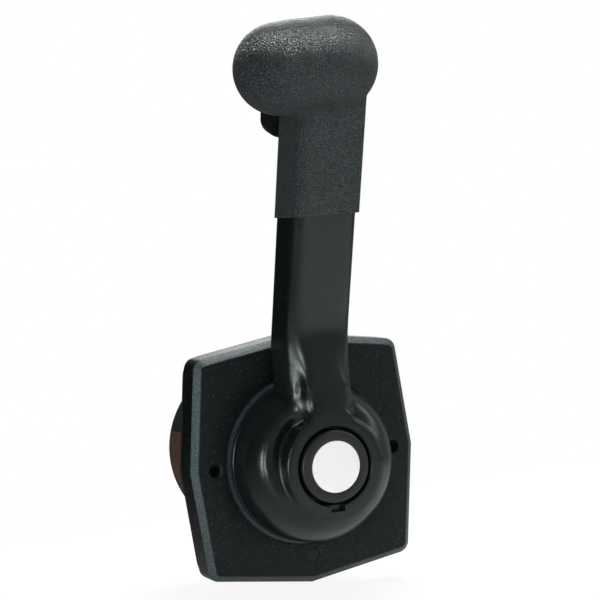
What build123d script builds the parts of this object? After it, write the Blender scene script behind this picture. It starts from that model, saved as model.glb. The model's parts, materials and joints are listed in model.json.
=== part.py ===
from build123d import *
import os
from math import atan, cos, pi, radians, sin, sqrt, tan

# Side-mount throttle and shift control for a boat: a cover plate on the panel, a domed
# lever with a palm knob, a finger release and a hub button, and the mechanism behind.
# Millimetres. +X aft, +Y into the panel, +Z up. The origin is where the lever's axis
# meets the panel's face. Every node is written in this frame with the lever in neutral.

# Cover plate
PLATE_HALF_WIDTH = 65.0
PLATE_HALF_HEIGHT = 67.0
PLATE_DEPTH = 18.5
SIDE_SLOPE = 6.3
END_SLOPE = 8.6
CORNER_RADIUS = 11.0
FRONT_CHAMFER = 3.5
PLATE_WALL = 3.0
FACE_THICKNESS = 4.0
RIB_THICKNESS = 2.0
GASKET_THICKNESS = 2.0
GASKET_INSET = 0.15
POCKET_RADIUS = 45.5
POCKET_DEPTH = 1.0
FIXING_CIRCLE_RADIUS = 51.7
FIXING_HOLE_RADIUS = 2.75
COUNTERBORE_RADIUS = 3.8
COUNTERBORE_DEPTH = 3.9
SCREW_BOSS_WALL = 2.5
RIB_RING_WALL = 2.8
RIB_PITCH = 30
CUT_OVERRUN = 1.0
FIXING_ANGLES = (0, 180, 270)

# Lever: dome, boss and leaning arm
SKIRT_RADIUS = 43.0
SKIRT_RIM_Y = -19.3
SKIRT_TOP_Y = -27.0
BOSS_RADIUS = 27.0
BOSS_FACE_Y = -55.0
BULGE_RADIUS = 36.4
BULGE_Y = -47.4
CROWN_RADIUS = 24.6
SEAM_ANGLE = 33.0
DOME_WALL = 3.5
CAVITY_CEILING_Y = -36.0
VALLEY_RING_RADIUS = 36.0
VALLEY_SECTION_RADIUS = 9.0
VALLEY_CENTRE_Y = -53.5
VALLEY_TILT = 8.0
LEAN = 17.0
ARM_WIDTH = 35.5
ARM_THICKNESS = 26.0
ARM_AXIS_Y = -14.3
ARM_FRONT_RADIUS = 6.0
ARM_BACK_RADIUS = 4.0
ARM_FOOT_FRONT_Y = -47.5
ARM_FOOT_BACK_Y = -20.2
ARM_FOOT_BOTTOM_Z = 20.0
ARM_FOOT_TOP_Z = 30.0
ARM_FRONT_BEND = 60.0
ARM_BACK_BEND = 30.0
STRIP_WIDTH = 24.5
STRIP_BEND_Z = 31.0
STRIP_TOP_Z = 64.0
STRIP_SINK = 1.0
STRIP_ROOT_RADIUS = 5.0
KEYHOLE_BACK_Y = -40.0
CORE_WIDTH = 29.5
CORE_THICKNESS = 20.0
CORE_TOP = 200.0
CORE_BOTTOM = 115.0
CORE_CORNER = 3.0
GRIP_SPACE = (200.0, 240.0, 150.0)
HUB_TUBE_RADIUS = 13.5
HUB_TUBE_END_Y = -16.7
CAVITY_CORNER_RADIUS = 34.0
RECESS_SLOT = (8.0, 6.0, 4.0)
SKIRT_NOTCH_ANGLE = 139.0
SKIRT_NOTCH = (8.0, 14.0)

# Hand grip
GRIP_BOTTOM_Z = 130.0
GRIP_SKIN = 1.5
KNOB_AFT_RADIUS = 24.3
KNOB_FORWARD_RADIUS = 23.2
KNOB_WAIST_RADIUS = 23.4
KNOB_AFT_X = 2.4
KNOB_FORWARD_X = -25.1
KNOB_CENTRE = 214.2
KNOB_DROOP = 2.6

# Neutral release
TRIGGER_HALF_WIDTH = 24.5
TRIGGER_BOTTOM = 174.0
TRIGGER_TOP = 186.0
TRIGGER_TRAVEL = 6.0
TRIGGER_DEPTH = 7.8
TRIGGER_CENTRE_DEPTH = 18.6
TRIGGER_CORNER = 9.0
TRIGGER_EDGE = 1.5
TONGUE_CENTRE_DEPTH = 9.4
TONGUE_LENGTH = 24.0
TONGUE_RISE = 5.5
TONGUE_WIDTH = 8.0
TONGUE_HEIGHT = 7.0
ROD_RADIUS = 2.5
ROD_CLEARANCE = 0.4
ROD_END_GAP = 1.6
CHANNEL_BOTTOM = 25.0
CHANNEL_TOP = 185.0
CHAMBER_RADIUS = 5.0
CHAMBER = (144.0, 158.0)
SLOT_SIDE_CLEARANCE = 0.3
SLOT_CENTRE_DEPTH = 12.0
SLOT_LENGTH = 34.0
COLLAR_RADIUS = 4.5
COLLAR = (144.5, 146.5)
TRIGGER_SPRING_RADIUS = 3.7
TRIGGER_SPRING_WIRE = 0.5
TRIGGER_SPRING_TURNS = 4
SPRING_GAP = 0.1
LOCK_RING_OUTER = 36.0
LOCK_RING_INNER = 31.0
LOCK_RING_FRONT_Y = -29.5
LOCK_RING_FLANGE = 2.0
LOCK_NOTCH_WIDTH = 7.0
LOCK_NOTCH_DEPTH = 3.0
LOCK_CLEARANCE = 0.4
LOCK_RING_BORE = 20.0

# Hub button
RECESS_RADIUS = 20.6
RECESS_FLOOR_Y = -39.0
CAP_RADIUS = 18.9
CAP_FACE_Y = -56.0
CAP_FACE_THICKNESS = 3.0
CAP_SKIRT_END_Y = -47.0
DISC_RADIUS = 13.45
DISC_THICKNESS = 1.2
DISC_PROUD = 0.4
BUTTON_TRAVEL = 5.0
PUSH_ROD_RADIUS = 3.0
CAP_EDGE = 1.0
CAP_WALL = 2.0
ROD_SOCKET_WALL = 2.0
ROD_SOCKET_DEPTH = 2.0
BUTTON_SPRING_RADIUS = 13.2
BUTTON_SPRING_WIRE = 0.7
BUTTON_SPRING_TURNS = 3

# Shaft and bearings
SHAFT_RADIUS = 8.0
SHAFT_THREAD_RADIUS = 6.0
SHAFT_BORE_RADIUS = 3.3
SHAFT_FRONT_Y = -46.0
HUB_NUT_APOTHEM = 9.5
HUB_NUT_FRONT_Y = -45.5
RUNNING_FIT = 0.05
BUSH_RADIUS = 12.0
BUSH_FLANGE_RADIUS = 15.0
BUSH_FLANGE = 2.0
BUSH_SEAT_WALL = 4.0
BUSH_BACK_Y = -4.0

# Housing
HOUSING_RADIUS = 48.3
HOUSING_WALL = 3.0
HOUSING_FLOOR = 4.0
HOUSING_BACK_Y = 58.0
HOUSING_FIT = 0.2
HOUSING_BOSS_RADIUS = 5.0
HOUSING_BOSS_BACK_Y = -3.0
COVER_BOSS_RADIUS = 6.0
COVER_BOSS_LENGTH = 14.0
COVER_TUBE_WALL = 3.0
COVER_RADIUS = 47.3
COVER_THICKNESS = 4.0
WINDOW_HALF_HEIGHT = 13.7
WINDOW_FRONT_Y = 30.0
SCREW_RADIUS = 2.0
SCREW_HEAD_RADIUS = 3.6
SCREW_HEAD_HEIGHT = 2.6
SCREW_CLEARANCE = 0.2
HOUSING_SCREW_LENGTH = 14.0
COVER_SCREW_LENGTH = 12.0
BRACKET_SCREW_LENGTH = 6.0
HOUSING_SCREW_CIRCLE = 25.0
COVER_SCREW_CIRCLE = 40.0

# Mechanism, front to back
DETENT_Y = (-2.0, 4.0)
DETENT_RADIUS = 22.0
DETENT_ANGLES = (-30, 0, 30)
BALL_RADIUS = 3.0
BALL_FIT = 0.1
DETENT_TUBE_RADIUS = 6.0
DETENT_TUBE_START = 28.5
NOTCH_RISE = 1.2
DETENT_SPRING_RADIUS = 2.1
DETENT_SPRING_WIRE = 0.5
DETENT_SPRING_LENGTH = 8.5
DETENT_SPRING_TURNS = 4
DETENT_PLUG = (38.5, 47.0)
PLUG_SLOT = (6.0, 1.0, 2.0)
SWITCH_X = -33.0
SWITCH_SIZE = (13.0, 18.0)
SWITCH_PIN_RADIUS = 1.5
GEAR_Y = (8.0, 16.0)
GEAR_MODULE = 1.25
DRIVE_TEETH = 18
SHIFT_TEETH = 27
PRESSURE_ANGLE = 20.0
BACKLASH = 0.16
FLANK_STEPS = 3
SECTOR_HALF_ANGLE = 72.0
SECTOR_REACH = 40.0
SECTOR_HUB_RADIUS = 9.0
SECTOR_APEX = -6.0
CAM_Y = (19.0, 26.0)
CAM_RADIUS = 23.5
CAM_GROOVE_DEPTH = 4.0
CAM_OVERRUN = 16.0
CAM_STEPS = 10
ROLLER_RADIUS = 3.0
ROLLER_CLEARANCE = 0.15
FOLLOWER_Y = (26.5, 29.5)
FOLLOWER_HUB_RADIUS = 7.0
FOLLOWER_TIP_RADIUS = 4.0
ROLLER_END_GAP = 0.5
DRUM_Y = (31.0, 48.0)
DRUM_RADIUS = 20.0
SHOE_GAP = 0.3
LEVER_FORWARD = -80.0
LEVER_ASTERN = 60.0
THROTTLE_RATIO = 0.12

# Cable arms behind the cover
ARM_PLATE = 3.0
ARM_CLEARANCE = 3.0
ARM_NUT_APOTHEM = 6.5
ARM_NUT_HEIGHT = 3.0
ARM_SHAFT_RADIUS = 4.0
ARM_SHAFT_WALL = 3.0
ARM_SHAFT_TUBE_FRONT_Y = 46.0
ARM_SHAFT_TUBE_PROUD = 1.5
ARM_SHAFT_FRONT_Y = -10.0
ARM_HUB_RADIUS = 8.0
ARM_TIP_RADIUS = 5.5
THROTTLE_PIVOT = (27.0, 10.0)
ROLLER_AT_REST = (5.2, 15.8)
SHIFT_ARM_LENGTH = 34.0
THROTTLE_ARM_LENGTH = 40.0
CABLE_HOLE_RADIUS = 2.6
CABLE_HOLE_PITCH = 7.0
BRACKET_THICKNESS = 2.5
CLAMP_X = 58.0
CLAMP_SIZE = (12.0, 15.0)
CLAMP_RISE = 3.0
CLAMP_TOP = 6.5
CABLE_RADIUS = 4.5
BRACKET_CORNER = 5.0
BRACKET_OUTLINE = ((11, -42), (30, -4), (44, -2), (66, -18), (66, -74), (50, -74))
BRACKET_SHAFT_HOLE = 9.0

FACE_Y = -PLATE_DEPTH
POCKET_Y = FACE_Y + POCKET_DEPTH
PLATE_INSIDE_Y = FACE_Y + FACE_THICKNESS
COVER_BACK_Y = HOUSING_BACK_Y + COVER_THICKNESS
SHAFT_END_Y = COVER_BACK_Y - 1.5
BUSH_FRONT_Y = 50.0
BRACKET_Y = (COVER_BACK_Y, COVER_BACK_Y + BRACKET_THICKNESS)
SHIFT_ARM_Y = (COVER_BACK_Y + 3.5, COVER_BACK_Y + 3.5 + ARM_PLATE)
THROTTLE_ARM_Y = (SHIFT_ARM_Y[1] + ARM_CLEARANCE, SHIFT_ARM_Y[1] + ARM_CLEARANCE + ARM_PLATE)
SHIFT_PIVOT_Z = -GEAR_MODULE * (DRIVE_TEETH + SHIFT_TEETH) / 2
ARM_PLANE = Plane(
    origin=(0, ARM_AXIS_Y, 0),
    x_dir=(1, 0, 0),
    z_dir=(0, -sin(radians(LEAN)), cos(radians(LEAN))),
)


def slab(outline, front, back):
    """Extrude an outline drawn in X and Z from y = front to y = back."""
    return extrude(Plane.XZ.offset(-back) * outline, amount=back - front)


def disc(radius, front, back, x=0.0, z=0.0):
    """A round slab with its axis along Y."""
    return slab(Pos(x, z) * Circle(radius), front, back)


def ring(outer, inner, front, back):
    """A tube about the lever's axis."""
    return slab(Circle(outer) - Circle(inner), front, back)


def turned(points):
    """Turn a closed (radius, y) outline about the lever's axis."""
    return revolve(make_face(Polyline(*points, close=True)), axis=Axis.Y)


def polar(radius, angle):
    """X and Z of a point on a circle, the angle counted from +X towards +Z."""
    return radius * cos(radians(angle)), radius * sin(radians(angle))


def rod(radius, start, end):
    """A round rod between two points."""
    line = Line(start, end)
    return extrude(Plane(origin=start, z_dir=line % 0) * Circle(radius), amount=line.length)


def upright(radius, bottom, top):
    """A round slab with its axis along Z."""
    return Pos(0, 0, (bottom + top) / 2) * Cylinder(radius, top - bottom)


def arm_local(shape):
    """Place a shape drawn in the leaning arm's own frame, Z along the arm."""
    return ARM_PLANE.location * shape


def spring(radius, wire, start, length, turns, along):
    """A coil spring from a start point along a direction."""
    coil = Helix(pitch=length / turns, height=length, radius=radius)
    section = Plane(origin=coil @ 0, z_dir=coil % 0) * Circle(wire)
    return Plane(origin=start, z_dir=along).location * sweep(section, path=coil)


# --- Cover plate -----------------------------------------------------------------


def plate_outline():
    """A square with each side bent at its middle and its four corners rounded."""
    side, end = tan(radians(SIDE_SLOPE)), tan(radians(END_SLOPE))
    corner_z = (PLATE_HALF_HEIGHT - PLATE_HALF_WIDTH * end) / (1 - side * end)
    corner_x = PLATE_HALF_WIDTH - corner_z * side
    points = [
        (PLATE_HALF_WIDTH, 0), (corner_x, corner_z), (0, PLATE_HALF_HEIGHT), (-corner_x, corner_z),
        (-PLATE_HALF_WIDTH, 0), (-corner_x, -corner_z), (0, -PLATE_HALF_HEIGHT), (corner_x, -corner_z),
    ]
    face = make_face(Polyline(*points, close=True))
    corners = face.vertices().filter_by(lambda v: abs(v.X) > 1 and abs(v.Y) > 1)
    return fillet(corners, CORNER_RADIUS)


def fixing_points():
    return [polar(FIXING_CIRCLE_RADIUS, angle) for angle in FIXING_ANGLES]


def housing_screw_points():
    return [polar(HOUSING_SCREW_CIRCLE, angle) for angle in (90, 210, 330)]


def make_cover_plate():
    outline = plate_outline()
    shell = slab(outline, FACE_Y, -GASKET_THICKNESS)
    front = shell.faces().sort_by(Axis.Y)[0]
    shell = chamfer(front.edges(), FRONT_CHAMFER)
    hollow = slab(offset(outline, -PLATE_WALL), PLATE_INSIDE_Y, -GASKET_THICKNESS)
    opening = HOUSING_RADIUS + HOUSING_FIT
    ribs = ring(opening + RIB_RING_WALL, opening, PLATE_INSIDE_Y, -GASKET_THICKNESS)
    for angle in range(0, 180, RIB_PITCH):
        bar = Rot(0, 0, angle) * Rectangle(4 * PLATE_HALF_WIDTH, RIB_THICKNESS)
        ribs += slab(bar - Circle(opening + CUT_OVERRUN), PLATE_INSIDE_Y, -GASKET_THICKNESS)
    for x, z in fixing_points():
        ribs += disc(COUNTERBORE_RADIUS + SCREW_BOSS_WALL, PLATE_INSIDE_Y, -GASKET_THICKNESS, x, z)
    plate = shell - (hollow - ribs)
    plate -= disc(opening, PLATE_INSIDE_Y, 0)
    plate -= disc(POCKET_RADIUS, FACE_Y - CUT_OVERRUN, POCKET_Y)
    plate -= disc(BUSH_FLANGE_RADIUS + 0.5, FACE_Y, 0)
    for x, z in fixing_points():
        plate -= disc(FIXING_HOLE_RADIUS, FACE_Y, 0, x, z)
        plate -= disc(COUNTERBORE_RADIUS, FACE_Y - CUT_OVERRUN, FACE_Y + COUNTERBORE_DEPTH, x, z)
    for x, z in housing_screw_points():
        plate -= disc(SCREW_RADIUS + SCREW_CLEARANCE, FACE_Y, 0, x, z)
    return plate


def make_plate_gasket():
    outline = offset(plate_outline(), -GASKET_INSET) - Circle(HOUSING_RADIUS + HOUSING_FIT)
    gasket = slab(outline, -GASKET_THICKNESS, 0)
    for x, z in fixing_points():
        gasket -= disc(FIXING_HOLE_RADIUS, -GASKET_THICKNESS, 0, x, z)
    return gasket


def make_screw_plug():
    x, z = fixing_points()[2]
    return disc(COUNTERBORE_RADIUS - RUNNING_FIT, FACE_Y, FACE_Y + COUNTERBORE_DEPTH, x, z)


# --- Lever -----------------------------------------------------------------------


def dome_blank():
    """Skirt wall, then a full curve that runs flush into the boss face."""
    skirt_corner, shoulder = (SKIRT_RADIUS, SKIRT_TOP_Y), (BULGE_RADIUS, BULGE_Y)
    crown = (CROWN_RADIUS, BOSS_FACE_Y)
    rim = Line((0, SKIRT_RIM_Y), (SKIRT_RADIUS, SKIRT_RIM_Y))
    wall = Line((SKIRT_RADIUS, SKIRT_RIM_Y), skirt_corner)
    bulge = Spline(skirt_corner, shoulder, crown, tangents=((0, -1), (-1, 0)))
    face = Line(crown, (0, BOSS_FACE_Y))
    axis = Line((0, BOSS_FACE_Y), (0, SKIRT_RIM_Y))
    return revolve(make_face([rim, wall, bulge, face, axis]), axis=Axis.Y)


def valley():
    """A ring groove round the boss, tilted so that it runs out at the bottom."""
    groove = revolve(Pos(VALLEY_RING_RADIUS, 0) * Circle(VALLEY_SECTION_RADIUS), axis=Axis.Y)
    return Pos(0, VALLEY_CENTRE_Y, 0) * Rot(-VALLEY_TILT, 0, 0) * Rot(0, SEAM_ANGLE, 0) * groove


def keyhole():
    """Boss and strip, proud of the dome and of the arm's foot."""
    outline = Circle(BOSS_RADIUS) + Pos(0, STRIP_TOP_Z / 2) * Rectangle(STRIP_WIDTH, STRIP_TOP_Z)
    roots = outline.vertices().filter_by(lambda v: BOSS_RADIUS * 0.5 < v.Y < BOSS_RADIUS)
    outline = fillet(roots, STRIP_ROOT_RADIUS)
    side = Polyline(
        (BOSS_FACE_Y, -BOSS_RADIUS), (BOSS_FACE_Y, STRIP_BEND_Z), (ARM_FOOT_FRONT_Y + STRIP_SINK, STRIP_TOP_Z),
        (KEYHOLE_BACK_Y, STRIP_TOP_Z), (KEYHOLE_BACK_Y, -BOSS_RADIUS), close=True,
    )
    wedge = extrude(Plane.YZ * make_face(side), amount=BOSS_RADIUS, both=True)
    return slab(outline, BOSS_FACE_Y, KEYHOLE_BACK_Y) & wedge


def arm_profile():
    """Side view of the arm: an upright foot, then the leaning beam."""
    slope = tan(radians(LEAN))
    half = ARM_THICKNESS / 2 / cos(radians(LEAN))
    front_bend = (ARM_AXIS_Y - half - ARM_FOOT_FRONT_Y) / slope
    back_bend = (ARM_AXIS_Y + half - ARM_FOOT_BACK_Y) / slope
    top = GRIP_BOTTOM_Z
    front_side = [
        (ARM_FOOT_FRONT_Y, ARM_FOOT_BOTTOM_Z), (ARM_FOOT_FRONT_Y, front_bend),
        (ARM_AXIS_Y - half - top * slope, top),
    ]
    back_side = [
        (ARM_AXIS_Y + half - top * slope, top),
        (ARM_FOOT_BACK_Y, back_bend), (ARM_FOOT_BACK_Y, ARM_FOOT_BOTTOM_Z),
    ]
    face = make_face(Polyline(*front_side, *back_side, close=True))
    front = face.vertices().filter_by(lambda v: abs(v.Y - front_bend) < 0.1 and v.X < -40)
    face = fillet(front, ARM_FRONT_BEND)
    back = face.vertices().filter_by(lambda v: abs(v.Y - back_bend) < 0.1 and v.X > -30)
    return fillet(back, ARM_BACK_BEND)


def arm_middle_y(edge):
    """Y of the beam's mid-plane beside an edge; the foot below stands upright."""
    return ARM_AXIS_Y - max(edge.center().Z, ARM_FOOT_TOP_Z) * tan(radians(LEAN))


def long_side_edges(beam):
    sides = beam.edges().filter_by(lambda e: abs(abs(e.center().X) - ARM_WIDTH / 2) < 0.01)
    return sides.filter_by(lambda e: e.bounding_box().size.Z > 5)


def make_arm_beam():
    beam = extrude(Plane.YZ * arm_profile(), amount=ARM_WIDTH / 2, both=True)
    front = [edge for edge in long_side_edges(beam) if edge.center().Y < arm_middle_y(edge)]
    beam = fillet(front, ARM_FRONT_RADIUS)
    back = [edge for edge in long_side_edges(beam) if edge.center().Y > arm_middle_y(edge)]
    return fillet(back, ARM_BACK_RADIUS)


def lever_core():
    """The tongue of the arm that the grip is moulded over."""
    core = Pos(0, 0, (CORE_TOP + CORE_BOTTOM) / 2) * Box(CORE_WIDTH, CORE_THICKNESS, CORE_TOP - CORE_BOTTOM)
    return arm_local(fillet(core.edges().filter_by(Axis.Z), CORE_CORNER))


def grip_space():
    """Everything above the level where the grip starts."""
    return Pos(0, 0, GRIP_BOTTOM_Z) * Box(*GRIP_SPACE, align=(Align.CENTER, Align.CENTER, Align.MIN))


def rod_channel():
    """Bore for the lock rod, with a slot at its top for the trigger's tongue."""
    bore = upright(ROD_RADIUS + ROD_CLEARANCE, CHANNEL_BOTTOM, CHANNEL_TOP)
    chamber = upright(CHAMBER_RADIUS, *CHAMBER)
    slot_height = TONGUE_HEIGHT + TRIGGER_TRAVEL + 1
    slot_middle = TRIGGER_BOTTOM + TONGUE_RISE + TRIGGER_TRAVEL / 2
    slot = Box(TONGUE_WIDTH + 2 * SLOT_SIDE_CLEARANCE, SLOT_LENGTH, slot_height)
    return arm_local(bore + chamber + Pos(0, SLOT_CENTRE_DEPTH, slot_middle) * slot)


def make_lever_arm():
    lever = dome_blank() - valley() + make_arm_beam() + keyhole()
    inside = SKIRT_RADIUS - DOME_WALL
    cavity = turned([
        (0, SKIRT_RIM_Y + CUT_OVERRUN), (inside, SKIRT_RIM_Y + CUT_OVERRUN), (inside, SKIRT_TOP_Y),
        (CAVITY_CORNER_RADIUS, CAVITY_CEILING_Y), (0, CAVITY_CEILING_Y),
    ])
    lever -= cavity
    lever += disc(HUB_TUBE_RADIUS, CAVITY_CEILING_Y, HUB_TUBE_END_Y)
    lever += lever_core() & grip_space()
    lever -= disc(RECESS_RADIUS, BOSS_FACE_Y - CUT_OVERRUN, RECESS_FLOOR_Y)
    slot_width, slot_height, slot_depth = RECESS_SLOT
    slot = Pos(0, -RECESS_RADIUS) * Rectangle(slot_width, slot_height)
    lever -= slab(slot, BOSS_FACE_Y - CUT_OVERRUN, BOSS_FACE_Y + slot_depth)
    lever -= disc(SHAFT_RADIUS, CAVITY_CEILING_Y, 0)
    lever -= disc(SHAFT_THREAD_RADIUS, BOSS_FACE_Y, 0)
    lever -= rod_channel()
    skirt_notch = Rot(0, 0, SKIRT_NOTCH_ANGLE) * Pos(SKIRT_RADIUS, 0) * Rectangle(*SKIRT_NOTCH)
    return lever - slab(skirt_notch, SKIRT_RIM_Y - 2, SKIRT_RIM_Y + CUT_OVERRUN)


def knob():
    """Two near-spherical lobes joined by a slightly hollow waist, turned about the knob's axis."""
    middle = (KNOB_AFT_X + KNOB_FORWARD_X) / 2
    aft = CenterArc((KNOB_AFT_X, 0), KNOB_AFT_RADIUS, 0, 90)
    forward = CenterArc((KNOB_FORWARD_X, 0), KNOB_FORWARD_RADIUS, 90, 90)
    waist = Spline(aft @ 1, (middle, KNOB_WAIST_RADIUS), forward @ 0, tangents=(aft % 1, forward % 0))
    base = Line(forward @ 1, aft @ 0)
    body = revolve(make_face([aft, waist, forward, base]), axis=Axis.X)
    return Pos(0, 0, KNOB_CENTRE) * Rot(0, -KNOB_DROOP, 0) * body


def make_hand_grip():
    width, depth = ARM_WIDTH + 2 * GRIP_SKIN, ARM_THICKNESS + 2 * GRIP_SKIN
    neck = Pos(0, 0, (CORE_BOTTOM + KNOB_CENTRE) / 2) * Box(width, depth, KNOB_CENTRE - CORE_BOTTOM)
    neck = fillet(neck.edges().filter_by(Axis.Z), ARM_FRONT_RADIUS)
    grip = arm_local(neck + knob()) & grip_space()
    return grip - lever_core() - rod_channel()


# --- Neutral release -------------------------------------------------------------


def make_release_trigger():
    width, height = 2 * TRIGGER_HALF_WIDTH, TRIGGER_TOP - TRIGGER_BOTTOM
    bar = Pos(0, TRIGGER_CENTRE_DEPTH, (TRIGGER_TOP + TRIGGER_BOTTOM) / 2) * Box(width, TRIGGER_DEPTH, height)
    lower = bar.edges().filter_by(Axis.Y).group_by(Axis.Z)[0]
    bar = fillet(lower, TRIGGER_CORNER)
    rims = bar.faces().sort_by(Axis.Y)[-1].edges()
    bar = fillet(rims, TRIGGER_EDGE)
    tongue_z = TRIGGER_BOTTOM + TONGUE_RISE
    tongue = Pos(0, TONGUE_CENTRE_DEPTH, tongue_z) * Box(TONGUE_WIDTH, TONGUE_LENGTH, TONGUE_HEIGHT)
    eye = Pos(0, 0, tongue_z) * Cylinder(ROD_RADIUS, TONGUE_HEIGHT)
    return arm_local(bar + tongue - eye)


def make_lock_rod():
    """Pull rod from the trigger down to the lock ring, with a collar for its spring."""
    foot = (LOCK_RING_OUTER + LOCK_CLEARANCE + ROD_END_GAP) / cos(radians(LEAN))
    top = TRIGGER_BOTTOM + TONGUE_RISE + TONGUE_HEIGHT / 2
    return arm_local(upright(ROD_RADIUS, foot, top) + upright(COLLAR_RADIUS, *COLLAR))


def make_trigger_spring():
    """Return spring round the rod, between its collar and the top of the chamber."""
    start = COLLAR[1] + SPRING_GAP + TRIGGER_SPRING_WIRE
    length = CHAMBER[1] - SPRING_GAP - TRIGGER_SPRING_WIRE - start
    turns = TRIGGER_SPRING_TURNS
    coil = spring(TRIGGER_SPRING_RADIUS, TRIGGER_SPRING_WIRE, (0, 0, start), length, turns, (0, 0, 1))
    return arm_local(coil)


def make_lock_ring():
    body = ring(LOCK_RING_OUTER, LOCK_RING_INNER, LOCK_RING_FRONT_Y, POCKET_Y)
    body += ring(LOCK_RING_OUTER, LOCK_RING_BORE, POCKET_Y - LOCK_RING_FLANGE, POCKET_Y)
    notch = Pos(0, LOCK_RING_OUTER) * Rectangle(LOCK_NOTCH_WIDTH, 2 * LOCK_NOTCH_DEPTH)
    body -= slab(notch, LOCK_RING_FRONT_Y, POCKET_Y - LOCK_RING_FLANGE)
    for x, z in housing_screw_points():
        body -= disc(SCREW_RADIUS + SCREW_CLEARANCE, LOCK_RING_FRONT_Y, 0, x, z)
    return body


# --- Hub button ------------------------------------------------------------------


def make_button_cap():
    cap = disc(CAP_RADIUS, CAP_FACE_Y, CAP_SKIRT_END_Y)
    cap = fillet(cap.edges().sort_by(Axis.Y)[0], CAP_EDGE)
    inside_y = CAP_FACE_Y + CAP_FACE_THICKNESS
    cap -= disc(CAP_RADIUS - CAP_WALL, inside_y, CAP_SKIRT_END_Y)
    cap -= disc(DISC_RADIUS, CAP_FACE_Y - CUT_OVERRUN, CAP_FACE_Y - DISC_PROUD + DISC_THICKNESS)
    cap += disc(PUSH_ROD_RADIUS + ROD_SOCKET_WALL, inside_y, inside_y + ROD_SOCKET_DEPTH)
    return cap - disc(PUSH_ROD_RADIUS, inside_y - 1, inside_y + ROD_SOCKET_DEPTH)


def make_button_disc():
    return disc(DISC_RADIUS, CAP_FACE_Y - DISC_PROUD, CAP_FACE_Y - DISC_PROUD + DISC_THICKNESS)


def make_push_rod():
    return disc(PUSH_ROD_RADIUS, CAP_FACE_Y + CAP_FACE_THICKNESS - 1, GEAR_Y[1])


def make_button_spring():
    end_gap = BUTTON_SPRING_WIRE + SPRING_GAP
    start = (0, RECESS_FLOOR_Y - end_gap, 0)
    length = RECESS_FLOOR_Y - CAP_FACE_Y - CAP_FACE_THICKNESS - 2 * end_gap
    return spring(BUTTON_SPRING_RADIUS, BUTTON_SPRING_WIRE, start, length, BUTTON_SPRING_TURNS, (0, -1, 0))


# --- Shaft group -----------------------------------------------------------------


def make_main_shaft():
    shaft = disc(SHAFT_RADIUS, CAVITY_CEILING_Y, SHAFT_END_Y)
    shaft += disc(SHAFT_THREAD_RADIUS, SHAFT_FRONT_Y, CAVITY_CEILING_Y)
    return shaft - disc(SHAFT_BORE_RADIUS, SHAFT_FRONT_Y, GEAR_Y[1] + BUTTON_TRAVEL + 1)


def make_hub_nut():
    nut = slab(RegularPolygon(HUB_NUT_APOTHEM, 6, major_radius=False), HUB_NUT_FRONT_Y, RECESS_FLOOR_Y)
    return nut - disc(SHAFT_THREAD_RADIUS, SHAFT_FRONT_Y, RECESS_FLOOR_Y)


def make_detent_disc():
    body = disc(DETENT_RADIUS, *DETENT_Y)
    for angle in DETENT_ANGLES:
        x, z = polar(DETENT_RADIUS + NOTCH_RISE, 90 + angle)
        body -= disc(BALL_RADIUS, *DETENT_Y, x, z)
    return body - disc(SHAFT_RADIUS, *DETENT_Y)


def involute(roll):
    return roll - atan(roll)


def gear_outline(teeth, centre_angle):
    """Involute spur gear with a tooth centred on the given angle."""
    pitch_r = GEAR_MODULE * teeth / 2
    base_r = pitch_r * cos(radians(PRESSURE_ANGLE))
    tip_r, root_r = pitch_r + GEAR_MODULE, pitch_r - 1.25 * GEAR_MODULE
    half = pi / (2 * teeth) - BACKLASH / (2 * pitch_r) + involute(tan(radians(PRESSURE_ANGLE)))
    tip_roll = sqrt((tip_r / base_r) ** 2 - 1)
    start_roll = sqrt(max((root_r / base_r) ** 2 - 1, 0))
    rolls = [start_roll + (tip_roll - start_roll) * step / FLANK_STEPS for step in range(FLANK_STEPS + 1)]
    flank = [(base_r * sqrt(1 + roll * roll), half - involute(roll)) for roll in rolls]
    if root_r < base_r:
        flank.insert(0, (root_r, half))
    points = []
    for tooth in range(teeth):
        middle = radians(centre_angle) + 2 * pi * tooth / teeth
        sides = [(r, middle - a) for r, a in flank] + [(r, middle + a) for r, a in reversed(flank)]
        points += [(r * cos(a), r * sin(a)) for r, a in sides]
    return make_face(Polyline(*points, close=True))


def make_drive_gear():
    return slab(gear_outline(DRIVE_TEETH, -90) - Circle(SHAFT_RADIUS), *GEAR_Y)


def make_shift_gear():
    """Toothed sector that faces the drive gear, on a round hub."""
    gear = gear_outline(SHIFT_TEETH, 90 + 180 / SHIFT_TEETH)
    reach = SECTOR_REACH
    left, right = polar(reach, 90 + SECTOR_HALF_ANGLE), polar(reach, 90 - SECTOR_HALF_ANGLE)
    wedge = make_face(Polyline((0, SECTOR_APEX), left, (-reach, reach), (reach, reach), right, close=True))
    sector = (gear & wedge) + Circle(SECTOR_HUB_RADIUS) - Circle(ARM_SHAFT_RADIUS)
    return slab(Pos(0, SHIFT_PIVOT_Z) * sector, *GEAR_Y)


def roller_position(lever_angle):
    """Roller centre in X and Z when the lever has turned by an angle in degrees."""
    turn = -radians(lever_angle * THROTTLE_RATIO)
    dx, dz = ROLLER_AT_REST[0] - THROTTLE_PIVOT[0], ROLLER_AT_REST[1] - THROTTLE_PIVOT[1]
    x = THROTTLE_PIVOT[0] + dx * cos(turn) - dz * sin(turn)
    z = THROTTLE_PIVOT[1] + dx * sin(turn) + dz * cos(turn)
    return x, z


def groove_point(lever_angle):
    """Where the roller's centre falls on the cam at that lever angle."""
    x, z = roller_position(lever_angle)
    back = radians(lever_angle)
    return x * cos(back) - z * sin(back), x * sin(back) + z * cos(back)


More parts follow.
